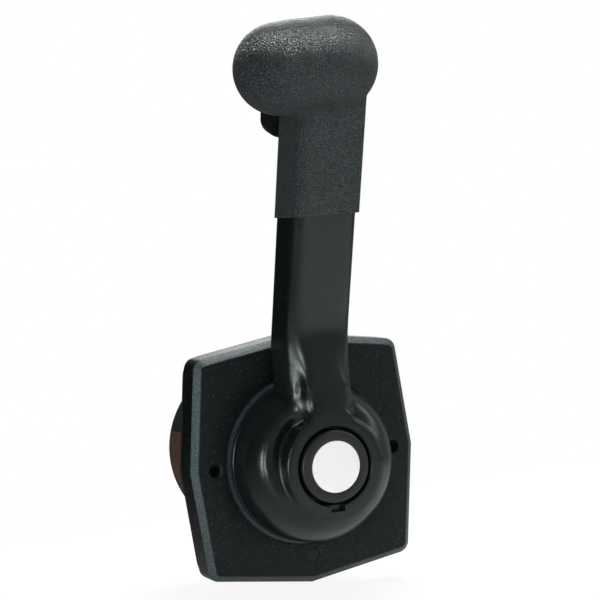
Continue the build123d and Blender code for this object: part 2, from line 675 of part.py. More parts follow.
def make_throttle_cam():
    first, last = LEVER_FORWARD - CAM_OVERRUN, LEVER_ASTERN + CAM_OVERRUN
    pitch = (last - first) / CAM_STEPS
    path = Spline(*[groove_point(first + pitch * step) for step in range(CAM_STEPS + 1)])
    groove = trace(path, 2 * (ROLLER_RADIUS + ROLLER_CLEARANCE))
    cam = disc(CAM_RADIUS, *CAM_Y) - disc(SHAFT_RADIUS, *CAM_Y)
    return cam - slab(groove, CAM_Y[1] - CAM_GROOVE_DEPTH, CAM_Y[1])


def make_brake_drum():
    return ring(DRUM_RADIUS, SHAFT_RADIUS, *DRUM_Y)


# --- Housing ---------------------------------------------------------------------


def cover_screw_points():
    return [polar(COVER_SCREW_CIRCLE, angle) for angle in (45, 135, 225, 315)]


def detent_rod(radius, bottom, top):
    """A round rod on the detent's axis, which points up through the housing's wall."""
    middle = sum(DETENT_Y) / 2
    return rod(radius, (0, middle, bottom), (0, middle, top))


def make_mechanism_housing():
    inside = HOUSING_RADIUS - HOUSING_WALL
    floor_y = PLATE_INSIDE_Y + HOUSING_FLOOR
    body = disc(HOUSING_RADIUS, PLATE_INSIDE_Y, HOUSING_BACK_Y) - disc(inside, floor_y, HOUSING_BACK_Y)
    body += disc(BUSH_RADIUS + BUSH_SEAT_WALL, floor_y, BUSH_BACK_Y)
    body += disc(ARM_SHAFT_RADIUS + ARM_SHAFT_WALL, floor_y, BUSH_BACK_Y, 0, SHIFT_PIVOT_Z)
    for x, z in housing_screw_points():
        body += disc(HOUSING_BOSS_RADIUS, floor_y, HOUSING_BOSS_BACK_Y, x, z)
    bosses = Sketch() + [Pos(x, z) * Circle(COVER_BOSS_RADIUS) for x, z in cover_screw_points()]
    body += slab(bosses & Circle(inside + CUT_OVERRUN), HOUSING_BACK_Y - COVER_BOSS_LENGTH, HOUSING_BACK_Y)
    body += detent_rod(DETENT_TUBE_RADIUS, DETENT_TUBE_START, inside + CUT_OVERRUN)
    body -= detent_rod(BALL_RADIUS + BALL_FIT, DETENT_RADIUS - BALL_RADIUS, HOUSING_RADIUS + CUT_OVERRUN)
    body -= disc(BUSH_RADIUS, PLATE_INSIDE_Y, 0)
    body -= disc(ARM_SHAFT_RADIUS + RUNNING_FIT, floor_y, 0, 0, SHIFT_PIVOT_Z)
    for x, z in housing_screw_points():
        body -= disc(SCREW_RADIUS, PLATE_INSIDE_Y, 0, x, z)
    for x, z in cover_screw_points():
        body -= disc(SCREW_RADIUS, HOUSING_BACK_Y - COVER_SCREW_LENGTH, HOUSING_BACK_Y, x, z)
    window = Pos(-HOUSING_RADIUS, 0) * Rectangle(HOUSING_RADIUS / 2, 2 * WINDOW_HALF_HEIGHT)
    return body - slab(window, WINDOW_FRONT_Y, HOUSING_BACK_Y)


def make_friction_shoe():
    """Brake block in the housing's window, hollowed to the drum and flush with the wall."""
    block = Pos(-HOUSING_RADIUS / 2, 0) * Rectangle(HOUSING_RADIUS, 2 * WINDOW_HALF_HEIGHT)
    section = (block & Circle(HOUSING_RADIUS)) - Circle(DRUM_RADIUS + SHOE_GAP)
    return slab(section, WINDOW_FRONT_Y, HOUSING_BACK_Y)


def make_rear_cover():
    cover = disc(COVER_RADIUS, HOUSING_BACK_Y, COVER_BACK_Y)
    cover += disc(BUSH_RADIUS + COVER_TUBE_WALL, BUSH_FRONT_Y, COVER_BACK_Y)
    cover -= disc(BUSH_RADIUS, BUSH_FRONT_Y, SHAFT_END_Y)
    tube_span = (ARM_SHAFT_TUBE_FRONT_Y, COVER_BACK_Y + ARM_SHAFT_TUBE_PROUD)
    for pivot in ((0, SHIFT_PIVOT_Z), THROTTLE_PIVOT):
        cover += disc(ARM_SHAFT_RADIUS + ARM_SHAFT_WALL, *tube_span, *pivot)
        cover -= disc(ARM_SHAFT_RADIUS + RUNNING_FIT, *tube_span, *pivot)
    for x, z in cover_screw_points():
        cover -= disc(SCREW_RADIUS + SCREW_CLEARANCE, HOUSING_BACK_Y, COVER_BACK_Y, x, z)
    for x, z in bracket_screw_points():
        cover -= disc(SCREW_RADIUS, HOUSING_BACK_Y, COVER_BACK_Y, x, z)
    return cover


def make_front_bearing():
    bush = disc(BUSH_RADIUS, PLATE_INSIDE_Y, BUSH_BACK_Y)
    bush += disc(BUSH_FLANGE_RADIUS, PLATE_INSIDE_Y - BUSH_FLANGE, PLATE_INSIDE_Y)
    return bush - disc(SHAFT_RADIUS + RUNNING_FIT, FACE_Y, 0)


def make_rear_bearing():
    return ring(BUSH_RADIUS, SHAFT_RADIUS + RUNNING_FIT, BUSH_FRONT_Y, SHAFT_END_Y)


def screw(x, z, head_y, length, towards_panel=True):
    """Pan-head screw whose head sits on y = head_y."""
    if towards_panel:
        head = disc(SCREW_HEAD_RADIUS, head_y - SCREW_HEAD_HEIGHT, head_y, x, z)
        return head + disc(SCREW_RADIUS, head_y, head_y + length, x, z)
    head = disc(SCREW_HEAD_RADIUS, head_y, head_y + SCREW_HEAD_HEIGHT, x, z)
    return head + disc(SCREW_RADIUS, head_y - length, head_y, x, z)


def make_housing_screws():
    seat = POCKET_Y - LOCK_RING_FLANGE
    return Compound([screw(x, z, seat, HOUSING_SCREW_LENGTH) for x, z in housing_screw_points()])


def make_cover_screws():
    return Compound([screw(x, z, COVER_BACK_Y, COVER_SCREW_LENGTH, False) for x, z in cover_screw_points()])


def make_detent_ball():
    return Pos(0, sum(DETENT_Y) / 2, DETENT_RADIUS + 2 * BALL_FIT + BALL_RADIUS) * Sphere(BALL_RADIUS)


def make_detent_spring():
    start = (0, sum(DETENT_Y) / 2, DETENT_RADIUS + 2 * BALL_RADIUS + 0.9)
    length, turns = DETENT_SPRING_LENGTH, DETENT_SPRING_TURNS
    return spring(DETENT_SPRING_RADIUS, DETENT_SPRING_WIRE, start, length, turns, (0, 0, 1))


def make_detent_plug():
    plug = detent_rod(BALL_RADIUS + BALL_FIT, *DETENT_PLUG)
    return plug - Pos(0, sum(DETENT_Y) / 2, DETENT_PLUG[1]) * Box(*PLUG_SLOT)


def make_neutral_switch():
    body = slab(Pos(SWITCH_X, 0) * Rectangle(*SWITCH_SIZE), PLATE_INSIDE_Y + HOUSING_FLOOR, DETENT_Y[1])
    middle = sum(DETENT_Y) / 2
    return body + rod(SWITCH_PIN_RADIUS, (SWITCH_X, middle, 0), (-DETENT_RADIUS - 0.5, middle, 0))


# --- Cable arms ------------------------------------------------------------------


def arm_plate(x, z, angle, length, span):
    """Flat arm with a boss end and a row of three cable holes."""
    tip_x, tip_z = polar(length, angle)
    tip = Pos(tip_x, tip_z) * Circle(ARM_TIP_RADIUS)
    outline = make_hull([*Circle(ARM_HUB_RADIUS).edges(), *tip.edges()])
    outline -= Circle(ARM_SHAFT_RADIUS)
    for step in range(3):
        hole_x, hole_z = polar(length - step * CABLE_HOLE_PITCH, angle)
        outline -= Pos(hole_x, hole_z) * Circle(CABLE_HOLE_RADIUS)
    return slab(Pos(x, z) * outline, *span)


def make_shift_shaft():
    return disc(ARM_SHAFT_RADIUS, ARM_SHAFT_FRONT_Y, SHIFT_ARM_Y[1] + ARM_NUT_HEIGHT, 0, SHIFT_PIVOT_Z)


def make_shift_arm():
    return arm_plate(0, SHIFT_PIVOT_Z, -90, SHIFT_ARM_LENGTH, SHIFT_ARM_Y)


def make_throttle_shaft():
    return disc(ARM_SHAFT_RADIUS, FOLLOWER_Y[0], THROTTLE_ARM_Y[1] + ARM_NUT_HEIGHT, *THROTTLE_PIVOT)


def make_throttle_arm():
    return arm_plate(*THROTTLE_PIVOT, -90, THROTTLE_ARM_LENGTH, THROTTLE_ARM_Y)


def arm_nut(x, z, front):
    """Thin hex nut that holds a cable arm on its shaft."""
    outline = RegularPolygon(ARM_NUT_APOTHEM, 6, major_radius=False) - Circle(ARM_SHAFT_RADIUS)
    return slab(Pos(x, z) * outline, front, front + ARM_NUT_HEIGHT)


def make_shift_arm_nut():
    return arm_nut(0, SHIFT_PIVOT_Z, SHIFT_ARM_Y[1])


def make_throttle_arm_nut():
    return arm_nut(*THROTTLE_PIVOT, THROTTLE_ARM_Y[1])


def make_throttle_follower():
    """Lever inside the housing that carries the cam roller's stud."""
    dx, dz = ROLLER_AT_REST[0] - THROTTLE_PIVOT[0], ROLLER_AT_REST[1] - THROTTLE_PIVOT[1]
    tip = Pos(dx, dz) * Circle(FOLLOWER_TIP_RADIUS)
    outline = make_hull([*Circle(FOLLOWER_HUB_RADIUS).edges(), *tip.edges()]) - Circle(ARM_SHAFT_RADIUS)
    return slab(Pos(*THROTTLE_PIVOT) * outline, *FOLLOWER_Y)


def make_cam_roller():
    return disc(ROLLER_RADIUS, CAM_Y[1] - CAM_GROOVE_DEPTH + ROLLER_END_GAP, FOLLOWER_Y[0], *ROLLER_AT_REST)


def bracket_screw_points():
    return [(37, -8), (20, -34)]


def clamp_points():
    shift_z = SHIFT_PIVOT_Z - SHIFT_ARM_LENGTH
    throttle_z = THROTTLE_PIVOT[1] - THROTTLE_ARM_LENGTH
    return [(CLAMP_X, shift_z), (CLAMP_X, throttle_z)]


def make_cable_bracket():
    """Sheet bracket that carries both cable clamps aft of the arms."""
    outline = make_face(Polyline(*BRACKET_OUTLINE, close=True))
    outline = fillet(outline.vertices(), BRACKET_CORNER)
    for x, z in bracket_screw_points():
        outline -= Pos(x, z) * Circle(SCREW_RADIUS + SCREW_CLEARANCE)
    outline -= Circle(BUSH_RADIUS + COVER_TUBE_WALL) + Pos(*THROTTLE_PIVOT) * Circle(BRACKET_SHAFT_HOLE)
    for x, z in cover_screw_points():
        outline -= Pos(x, z) * Circle(SCREW_HEAD_RADIUS + 1)
    return slab(outline, *BRACKET_Y)


def make_bracket_screws():
    return Compound([screw(x, z, BRACKET_Y[1], BRACKET_SCREW_LENGTH, False) for x, z in bracket_screw_points()])


def make_cable_clamps():
    """One saddle for each cable: a foot on the bracket and a round seat along X."""
    clamps = []
    for (x, z), arm_y in zip(clamp_points(), (SHIFT_ARM_Y, THROTTLE_ARM_Y)):
        seat_y = arm_y[1] + CLAMP_RISE
        block = slab(Pos(x, z) * Rectangle(*CLAMP_SIZE), BRACKET_Y[1], seat_y + CLAMP_TOP)
        reach = CLAMP_SIZE[0] / 2 + CUT_OVERRUN
        clamps.append(block - rod(CABLE_RADIUS, (x - reach, seat_y, z), (x + reach, seat_y, z)))
    return Compound(clamps)


NODES = {
    "cover_plate": make_cover_plate,
    "plate_gasket": make_plate_gasket,
    "screw_plug": make_screw_plug,
    "mechanism_housing": make_mechanism_housing,
    "rear_cover": make_rear_cover,
    "cover_screws": make_cover_screws,
    "housing_screws": make_housing_screws,
    "front_bearing": make_front_bearing,
    "rear_bearing": make_rear_bearing,
    "lock_ring": make_lock_ring,
    "detent_ball": make_detent_ball,
    "detent_spring": make_detent_spring,
    "detent_plug": make_detent_plug,
    "friction_shoe": make_friction_shoe,
    "neutral_switch": make_neutral_switch,
    "cable_bracket": make_cable_bracket,
    "bracket_screws": make_bracket_screws,
    "cable_clamps": make_cable_clamps,
    "lever_arm": make_lever_arm,
    "hand_grip": make_hand_grip,
    "main_shaft": make_main_shaft,
    "hub_nut": make_hub_nut,
    "detent_disc": make_detent_disc,
    "drive_gear": make_drive_gear,
    "throttle_cam": make_throttle_cam,
    "brake_drum": make_brake_drum,
    "release_trigger": make_release_trigger,
    "lock_rod": make_lock_rod,
    "trigger_spring": make_trigger_spring,
    "button_cap": make_button_cap,
    "button_disc": make_button_disc,
    "push_rod": make_push_rod,
    "button_spring": make_button_spring,
    "shift_gear": make_shift_gear,
    "shift_shaft": make_shift_shaft,
    "shift_arm": make_shift_arm,
    "shift_arm_nut": make_shift_arm_nut,
    "throttle_shaft": make_throttle_shaft,
    "throttle_arm": make_throttle_arm,
    "throttle_arm_nut": make_throttle_arm_nut,
    "throttle_follower": make_throttle_follower,
    "cam_roller": make_cam_roller,
}

os.makedirs("parts", exist_ok=True)
for name, make in NODES.items():
    export_step(make(), f"parts/{name}.step")
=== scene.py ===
import json
from math import cos, hypot, pi, radians, sin, tan

import bmesh
import bpy
from bpy.props import FloatProperty, FloatVectorProperty, PointerProperty
from bpy.types import Operator, Panel, PropertyGroup
from mathutils import Matrix, Vector


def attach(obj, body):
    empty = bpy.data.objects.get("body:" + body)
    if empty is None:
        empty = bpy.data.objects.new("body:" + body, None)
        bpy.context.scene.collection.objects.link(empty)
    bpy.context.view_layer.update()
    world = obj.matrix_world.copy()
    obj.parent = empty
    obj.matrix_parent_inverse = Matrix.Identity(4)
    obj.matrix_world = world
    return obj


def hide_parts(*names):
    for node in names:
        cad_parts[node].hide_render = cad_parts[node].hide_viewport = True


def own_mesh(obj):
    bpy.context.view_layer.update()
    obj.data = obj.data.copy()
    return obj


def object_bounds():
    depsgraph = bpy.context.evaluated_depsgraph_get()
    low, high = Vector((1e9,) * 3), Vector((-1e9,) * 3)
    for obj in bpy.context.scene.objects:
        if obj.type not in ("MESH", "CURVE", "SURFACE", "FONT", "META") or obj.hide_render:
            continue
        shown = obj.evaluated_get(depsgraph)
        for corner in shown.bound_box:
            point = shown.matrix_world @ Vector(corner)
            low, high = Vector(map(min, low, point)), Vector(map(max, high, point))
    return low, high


bl_info = {
    "name": "Side-mount boat control",
    "version": (1, 0, 0),
    "blender": (4, 5, 0),
    "location": "3D View > Sidebar > Boat Control",
    "description": "Builds the looks of a side-mount boat throttle lever around its CAD frame",
    "category": "Add Mesh",
}

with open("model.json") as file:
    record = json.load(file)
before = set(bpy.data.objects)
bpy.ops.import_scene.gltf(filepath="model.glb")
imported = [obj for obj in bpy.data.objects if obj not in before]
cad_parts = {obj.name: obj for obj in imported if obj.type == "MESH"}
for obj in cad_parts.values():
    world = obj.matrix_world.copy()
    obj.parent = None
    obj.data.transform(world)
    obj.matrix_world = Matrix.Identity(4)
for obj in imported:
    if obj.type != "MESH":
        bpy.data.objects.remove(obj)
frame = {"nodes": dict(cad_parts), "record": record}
CAD_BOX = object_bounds()
MM = 0.001


# --- Sizes and colours that a user may change ---


def length(name, description, millimetres):
    return FloatProperty(name=name, description=description, default=millimetres * MM,
                         unit="LENGTH", precision=5)


def rotation(name, description, degrees):
    return FloatProperty(name=name, description=description, default=radians(degrees), unit="ROTATION")


def strength(name, description, value):
    return FloatProperty(name=name, description=description, default=value, min=0)


def colour(name, description, value):
    return FloatVectorProperty(name=name, description=description, default=value, size=3,
                               min=0, max=1, subtype="COLOR")


class PlateSizes(PropertyGroup):
    half_width: length("Half width", "Centre to the side apex", 65)
    half_height: length("Half height", "Centre to the top apex", 67)
    side_slope: rotation("Side slope", "Lean of each side", 6.3)
    end_slope: rotation("End slope", "Lean of top and bottom", 8.6)
    corner: length("Corner", "How far a corner's rounding reaches along each side", 4.62)
    front: length("Front face", "Y of the front face", -18.5)
    back: length("Back face", "Y of the back edge", -2)
    chamfer: length("Chamfer", "Width of the sloping rim", 3.5)
    edge: length("Edge", "Rounding of the sloping rim's edges", 0.5)
    skin: length("Front skin", "Thickness of the front", 4)
    wall: length("Wall", "Thickness of the sides", 3)
    pocket: length("Pocket radius", "Round pocket under the dome", 45.5)
    pocket_depth: length("Pocket depth", "Depth of the round pocket", 1)
    pocket_edge: length("Pocket edge", "Rounding of the pocket's edge", 0.45)
    opening: length("Opening radius", "Radius of the opening for the shaft", 15.5)
    fixing_circle: length("Fixing circle", "Radius of the circle of the three fixings", 51.7)
    fixing_hole: length("Fixing hole radius", "Radius of a fixing hole", 2.75)
    fixing_wall: length("Fixing wall", "Wall of the tube round a fixing", 2.5)
    counterbore: length("Counterbore radius", "Radius of the screw head's sink", 3.8)
    sink: length("Counterbore depth", "Depth of the screw head's sink", 3.9)
    plug_gap: length("Plug gap", "Gap round the plug in the bottom fixing", 0.25)


class LeverSizes(PropertyGroup):
    skirt: length("Skirt radius", "Radius of the dome's skirt", 43.1)
    rim: length("Rim", "Y of the dome's rim", -19.3)
    boss: length("Boss radius", "Radius of the raised round boss", 27)
    face: length("Boss face", "Y of the boss face", -55)
    valley: length("Valley radius", "Radius of the ring valley round the boss", 30.6)
    valley_section: length("Valley section", "Radius of the valley's section", 5.4)
    valley_centre: length("Valley centre", "Y of the valley's section centre", -55.6)
    valley_tilt: rotation("Valley tilt", "Tilt that runs the valley out at the lower right", 12.3)
    valley_deep: rotation("Valley direction", "Where round the boss the valley is deepest", 122)
    axis: length("Arm axis", "Y at which the arm's axis starts, beside the lever's pivot", -14.3)
    lean: rotation("Lean", "Lean of the arm away from the panel", 17)
    arm_width: length("Arm width", "Width of the arm", 35.5)
    arm_thickness: length("Arm thickness", "Front to back of the arm", 26)
    arm_top: length("Arm top", "Z at which the arm ends inside the grip", 130)
    foot_front: length("Foot front", "Y of the front of the arm's upright foot", -47.5)
    foot_back: length("Foot back", "Y of the back of the arm's upright foot", -20.2)
    strip: length("Strip width", "Width of the raised strip up the foot", 24.5)
    recess: length("Recess radius", "Radius of the hub button's recess", 20.6)
    tube: length("Hub tube radius", "Radius of the tube behind the recess", 13.5)
    bore: length("Hub bore radius", "Radius of the bore for the shaft", 8)
    grain: length("Voxel", "Mesh size of the blended casting", 0.8)


class GripSizes(PropertyGroup):
    knob: length("Aft lobe radius", "Radius of the palm knob's aft lobe", 24.3)
    knob_forward: length("Forward lobe radius", "Radius of the palm knob's forward lobe", 23.2)
    knob_span: length("Knob span", "Distance between the two lobes' centres", 27.5)
    knob_aft: length("Knob aft", "X of the aft lobe's centre", 2.4)
    knob_along: length("Knob height", "Distance of the knob's axis along the arm", 214.2)
    droop: rotation("Droop", "Tilt of the knob's axis", 2.6)
    skin: length("Skin", "How far the grip stands proud of the arm", 1.5)
    neck: length("Neck start", "Where up the arm the neck starts, before it is cut level", 115)
    bottom: length("Grip bottom", "Z of the grip's lower edge", 130)
    grain: length("Voxel", "Mesh size of the blended grip", 0.8)


class TriggerSizes(PropertyGroup):
    width: length("Width", "Width of the finger bar", 49)
    thickness: length("Thickness", "Front to back of the bar", 7.8)
    height: length("Height", "Height of the bar", 13.4)
    behind: length("Behind", "Distance of the bar's middle behind the arm's axis", 18.6)
    along: length("Along", "Distance of the bar's middle along the arm", 180.7)
    corner: length("Corner", "Rounding of the bar's two lower corners", 9)
    edge: length("Edge", "Rounding of the bar's back edges", 1.5)


class ButtonSizes(PropertyGroup):
    cap: length("Cap radius", "Radius of the hub button", 18.9)
    face: length("Cap face", "Y of the button's face", -56)
    end: length("Skirt end", "Y of the button's open end", -47)
    socket: length("Socket end", "Y of the end of the socket on the push rod", -51.3)
    disc: length("Disc radius", "Radius of the pale disc", 13.45)
    proud: length("Disc proud", "How far the disc stands out", 0.4)


class SpringSizes(PropertyGroup):
    button_coil: length("Button coil", "Radius of the button spring's coil", 13.2)
    button_wire: length("Button wire", "Radius of the button spring's wire", 0.7)
    button_length: length("Button spring length", "Length of the button spring's centre line", 12.4)
    button_foot: length("Button spring foot", "Y of the spring's fixed end", -39.1)
    press: length("Press", "Travel of the hub button", 5)
    release_coil: length("Release coil", "Radius of the finger release's spring", 3.7)
    release_wire: length("Release wire", "Radius of the release spring's wire", 0.5)
    release_length: length("Release spring length", "Length of the release spring's centre line", 10.3)
    release_top: length("Release spring top", "Distance of the spring's fixed end along the arm", 157.9)
    lift: length("Lift", "Travel of the finger release", 6)


class RearSizes(PropertyGroup):
    cover_back: length("Cover back", "Y of the rear cover's face", 62)
    screw_circle: length("Screw circle", "Radius of the circle of the cover's four screws", 40)
    screw_head: length("Screw head", "Radius of a screw's head", 3.6)
    screw_height: length("Screw height", "Height of a screw's head", 2.6)
    screw_shank: length("Screw shank", "Radius of a screw's shank", 2)
    screw_length: length("Screw length", "Length of a screw's shank", 12)
    nut: length("Nut", "Half the width of a nut across its flats", 6.5)
    nut_height: length("Nut height", "Thickness of a nut", 3)
    nut_bore: length("Nut bore", "Radius of a nut's bore", 4.02)


class Colours(PropertyGroup):
    plate: colour("Plate", "Textured plate", (0.0030, 0.0040, 0.0042))
    paint: colour("Paint", "Lever casting", (0.0050, 0.0068, 0.0074))
    grip: colour("Grip", "Hand grip", (0.070, 0.085, 0.089))
    release: colour("Release", "Finger release", (0.006, 0.007, 0.008))
    cap: colour("Cap", "Hub button", (0.009, 0.0105, 0.011))
    disc: colour("Disc", "Pale disc", (0.92, 0.93, 0.93))
    foam: colour("Foam", "Gasket behind the plate", (0.012, 0.012, 0.013))
    housing: colour("Housing", "Housing behind the panel", (0.014, 0.016, 0.017))
    laminate: colour("Laminate", "Brown friction shoe", (0.055, 0.028, 0.016))
    zinc: colour("Zinc", "Plated steel", (0.46, 0.47, 0.46))
    spring: colour("Spring", "Spring steel", (0.3, 0.3, 0.3))
    bronze: colour("Bronze", "Sintered bushes", (0.42, 0.27, 0.13))
    acetal: colour("Acetal", "Pale bearing plastic", (0.66, 0.64, 0.58))


class StageSettings(PropertyGroup):
    key: strength("Key", "Power of the key lamp", 3.4)
    side: strength("Side", "Power of the side lamp", 3.2)
    edge: strength("Edge", "Power of the narrow lamp far to the left", 4.5)
    top: strength("Top", "Power of the lamp overhead", 12.0)
    rear: strength("Rear", "Power of the lamp behind the panel", 5.0)
    ambient: strength("Ambient", "Strength of the plain surroundings", 0.34)


GROUPS = {
    "control_plate": PlateSizes,
    "control_lever": LeverSizes,
    "control_grip": GripSizes,
    "control_trigger": TriggerSizes,
    "control_button": ButtonSizes,
    "control_springs": SpringSizes,
    "control_rear": RearSizes,
    "control_colours": Colours,
    "control_stage": StageSettings,
}


# --- Modelling by hand ---


def deselect():
    if bpy.context.object and bpy.context.object.mode == "EDIT":
        bpy.ops.object.mode_set(mode="OBJECT")
    bpy.ops.object.select_all(action="DESELECT")


def pick(obj):
    deselect()
    bpy.context.view_layer.objects.active = obj
    obj.select_set(True)


def named(name):
    """Name the object that an operator has just added."""
    obj = bpy.context.object
    obj.name = name
    obj.data.name = name
    return obj


def settle(obj):
    """Write an object's place into its mesh."""
    pick(obj)
    bpy.ops.object.transform_apply(location=True, rotation=True, scale=True)
    return obj


def edit(obj, mode):
    """Go into edit mode with nothing selected."""
    pick(obj)
    bpy.ops.object.mode_set(mode="EDIT")
    bpy.ops.mesh.select_mode(type=mode)
    bpy.ops.mesh.select_all(action="DESELECT")
    return bmesh.from_edit_mesh(obj.data)


def edit_all(obj, mode="VERT"):
    """Go into edit mode with everything selected."""
    edit(obj, mode)
    bpy.ops.mesh.select_all(action="SELECT")


def leave():
    bpy.ops.object.mode_set(mode="OBJECT")


def choose(obj, test, mode="EDGE"):
    """Select edges or vertices in edit mode by a test on each."""
    mesh = edit(obj, mode)
    for item in mesh.edges if mode == "EDGE" else mesh.verts:
        if test(item):
            item.select_set(True)
    bmesh.update_edit_mesh(obj.data)


def middle(edge):
    return (edge.verts[0].co + edge.verts[1].co) / 2


def along(edge):
    return (edge.verts[1].co - edge.verts[0].co).normalized()


def at_y(y, near=0.01 * MM):
    """A test for edges that lie at one Y."""
    return lambda edge: all(abs(vertex.co.y - y) < near for vertex in edge.verts)


def profile(name, points, closed):
    """Draw a line of edges, extruding one vertex at a time from a plane merged to a point."""
    deselect()
    bpy.ops.mesh.primitive_plane_add(size=MM, location=points[0])
    obj = settle(named(name))
    edit_all(obj)
    bpy.ops.mesh.merge(type="CENTER")
    bpy.ops.mesh.select_all(action="SELECT")
    for before, after in zip(points, points[1:]):
        step = Vector(after) - Vector(before)
        bpy.ops.mesh.extrude_region_move(TRANSFORM_OT_translate={"value": step})
    if closed:
        bpy.ops.mesh.select_all(action="SELECT")
        bpy.ops.mesh.edge_face_add()
    leave()
    return obj


def spun(obj, steps, axis):
    """Turn an open line right round an axis through the origin."""
    edit_all(obj)
    bpy.ops.mesh.spin(steps=steps, angle=2 * pi, center=(0, 0, 0), axis=axis)
    leave()
    return outward(obj)


def turned(name, points, steps):
    """Lathe an open (radius, y) line in millimetres about the Y axis."""
    return spun(profile(name, [(radius * MM, y * MM, 0) for radius, y in points], False), steps, (0, 1, 0))


def outward(obj):
    """Merge doubles and point every face out."""
    edit_all(obj)
    bpy.ops.mesh.remove_doubles(threshold=0.01 * MM)
    bpy.ops.mesh.normals_make_consistent(inside=False)
    leave()
    return obj


def pulled(name, points, offset):
    """Fill a closed outline and pull it out along a vector."""
    obj = profile(name, points, True)
    edit_all(obj, "FACE")
    bpy.ops.mesh.extrude_region_move(TRANSFORM_OT_translate={"value": Vector(offset)})
    leave()
    return outward(obj)


def round_edges(obj, width, segments, test):
    choose(obj, test)
    bpy.ops.mesh.bevel(offset=width, segments=segments, profile=0.5, affect="EDGES")
    leave()
    return obj


def add(obj, kind, **settings):
    """Put a modifier on and apply it."""
    pick(obj)
    modifier = obj.modifiers.new(kind.title(), kind)
    for key, value in settings.items():
        setattr(modifier, key, value)
    bpy.ops.object.modifier_apply(modifier=modifier.name)
    return obj


def combine(obj, tool, operation):
    """Boolean of two closed pieces; the tool is used up."""
    add(obj, "BOOLEAN", object=tool, operation=operation, solver="EXACT")
    bpy.data.objects.remove(tool)


def cut(obj, tool):
    combine(obj, tool, "DIFFERENCE")


def join(obj, tool):
    combine(obj, tool, "UNION")


def blend_casting(obj, voxel, rounds):
    """Turn sharp joints into cast fillets."""
    add(obj, "REMESH", mode="VOXEL", voxel_size=voxel)
    add(obj, "SMOOTH", factor=0.5, iterations=rounds)


def soften(obj, repeat, test):
    """Relax the chosen vertices, for wide fillets."""
    choose(obj, test, "VERT")
    bpy.ops.mesh.vertices_smooth(factor=0.5, repeat=repeat)
    leave()


def cylinder(name, radius, front, back, x=0.0, z=0.0, sides=64):
    """A round slab with its axis along Y, sizes in metres."""
    deselect()
    bpy.ops.mesh.primitive_cylinder_add(vertices=sides, radius=radius, depth=back - front,
                                        location=(x, (front + back) / 2, z), rotation=(pi / 2, 0, 0))
    return settle(named(name))


def block(name, size, centre):
    deselect()
    bpy.ops.mesh.primitive_cube_add(size=1, location=centre)
    obj = named(name)
    obj.scale = size
    return settle(obj)


def tip(obj, angle, axis, place):
    """Turn a piece about the origin, then move it into place."""
    obj.matrix_world = Matrix.Translation(place) @ Matrix.Rotation(angle, 4, axis) @ obj.matrix_world
    return settle(obj)


def up_arm(s):
    """Direction in which the arm leans."""
    return Vector((0, -sin(s.lean), cos(s.lean)))


def arm_point(s, distance=0.0):
    """The point at a distance up the arm's axis."""
    return Vector((0, s.axis, 0)) + up_arm(s) * distance


def lean(obj, s, distance=0.0):
    """Tip a piece that is drawn upright into the arm's direction, at a distance up the arm."""
    tip(obj, s.lean, "X", arm_point(s, distance))


# --- Materials ---


class Wire:
    """A socket that takes part in arithmetic: each operation adds a Math node."""

    def __init__(self, shading, socket):
        self.shading = shading
        self.socket = socket

    def math(self, operation, *values):
        return self.shading.node("ShaderNodeMath", {"operation": operation}, dict(enumerate(values)))

    def __add__(self, other):
        return self.math("ADD", self, other)

    __radd__ = __add__

    def __mul__(self, other):
        return self.math("MULTIPLY", self, other)

    __rmul__ = __mul__

    def __sub__(self, other):
        return self.math("SUBTRACT", self, other)

    def __rsub__(self, other):
        return self.math("SUBTRACT", other, self)


class Shading:
    """A node tree as it is built; one method adds a node of any type."""

    def __init__(self, owner):
        owner.use_nodes = True
        self.tree = owner.node_tree

    def node(self, kind, settings, inputs, output=0):
        """Add a node, set it, then fill or link its sockets."""
        made = self.tree.nodes.new(kind)
        for key, value in settings.items():
            setattr(made, key, value)
        for key, value in inputs.items():
            if isinstance(value, Wire):
                self.tree.links.new(value.socket, made.inputs[key])
            else:
                made.inputs[key].default_value = value
        return Wire(self, made.outputs[output])

    def ray(self, kind):
        return self.node("ShaderNodeLightPath", {}, {}, kind)

    def ramp(self, value, low, high):
        """Carry a value linearly from low to high, each a pair of (value, result)."""
        return self.node("ShaderNodeMapRange", {}, {
            "Value": value, "From Min": low[0], "From Max": high[0], "To Min": low[1], "To Max": high[1]})

    def mix(self, factor, first, second):
        inputs = {"Factor": factor, 6: first, 7: second}
        return self.node("ShaderNodeMix", {"data_type": "RGBA"}, inputs, 2)


class Finish(Shading):
    """A material as it is built: constants on the shader, then nodes by type."""

    def __init__(self, name, **constants):
        self.material = bpy.data.materials.new(f"{name}_finish")
        super().__init__(self.material)
        self.shader = self.tree.nodes["Principled BSDF"]
        for key, value in constants.items():
            self.shader.inputs[key.replace("_", " ")].default_value = value
        self.place = self.node("ShaderNodeTexCoord", {}, {}, "Object")

    def stretched(self, scale):
        return self.node("ShaderNodeMapping", {}, {"Vector": self.place, "Scale": scale})

    def noise(self, scale, detail=3.0, vector=None):
        return self.node("ShaderNodeTexNoise", {}, {
            "Vector": vector or self.place, "Scale": scale, "Detail": detail})

    def cells(self, scale, feature="F1", vector=None):
        return self.node("ShaderNodeTexVoronoi", {"feature": feature}, {
            "Vector": vector or self.place, "Scale": scale})

    def surface(self, shade, rough, height, depth):
        """Feed the shader a colour, a roughness and a bump."""
        bump = self.node("ShaderNodeBump", {}, {"Height": height, "Distance": depth})
        for key, wire in (("Base Color", shade), ("Roughness", rough), ("Normal", bump)):
            self.tree.links.new(wire.socket, self.shader.inputs[key])
        return self.material


def rgba(value, gain):
    """A colour made brighter or darker, with full alpha."""
    return (value[0] * gain, value[1] * gain, value[2] * gain, 1)


# Tint of the gloss on plastic, leather and paint.
COOL = (0.86, 1.0, 0.97, 1)


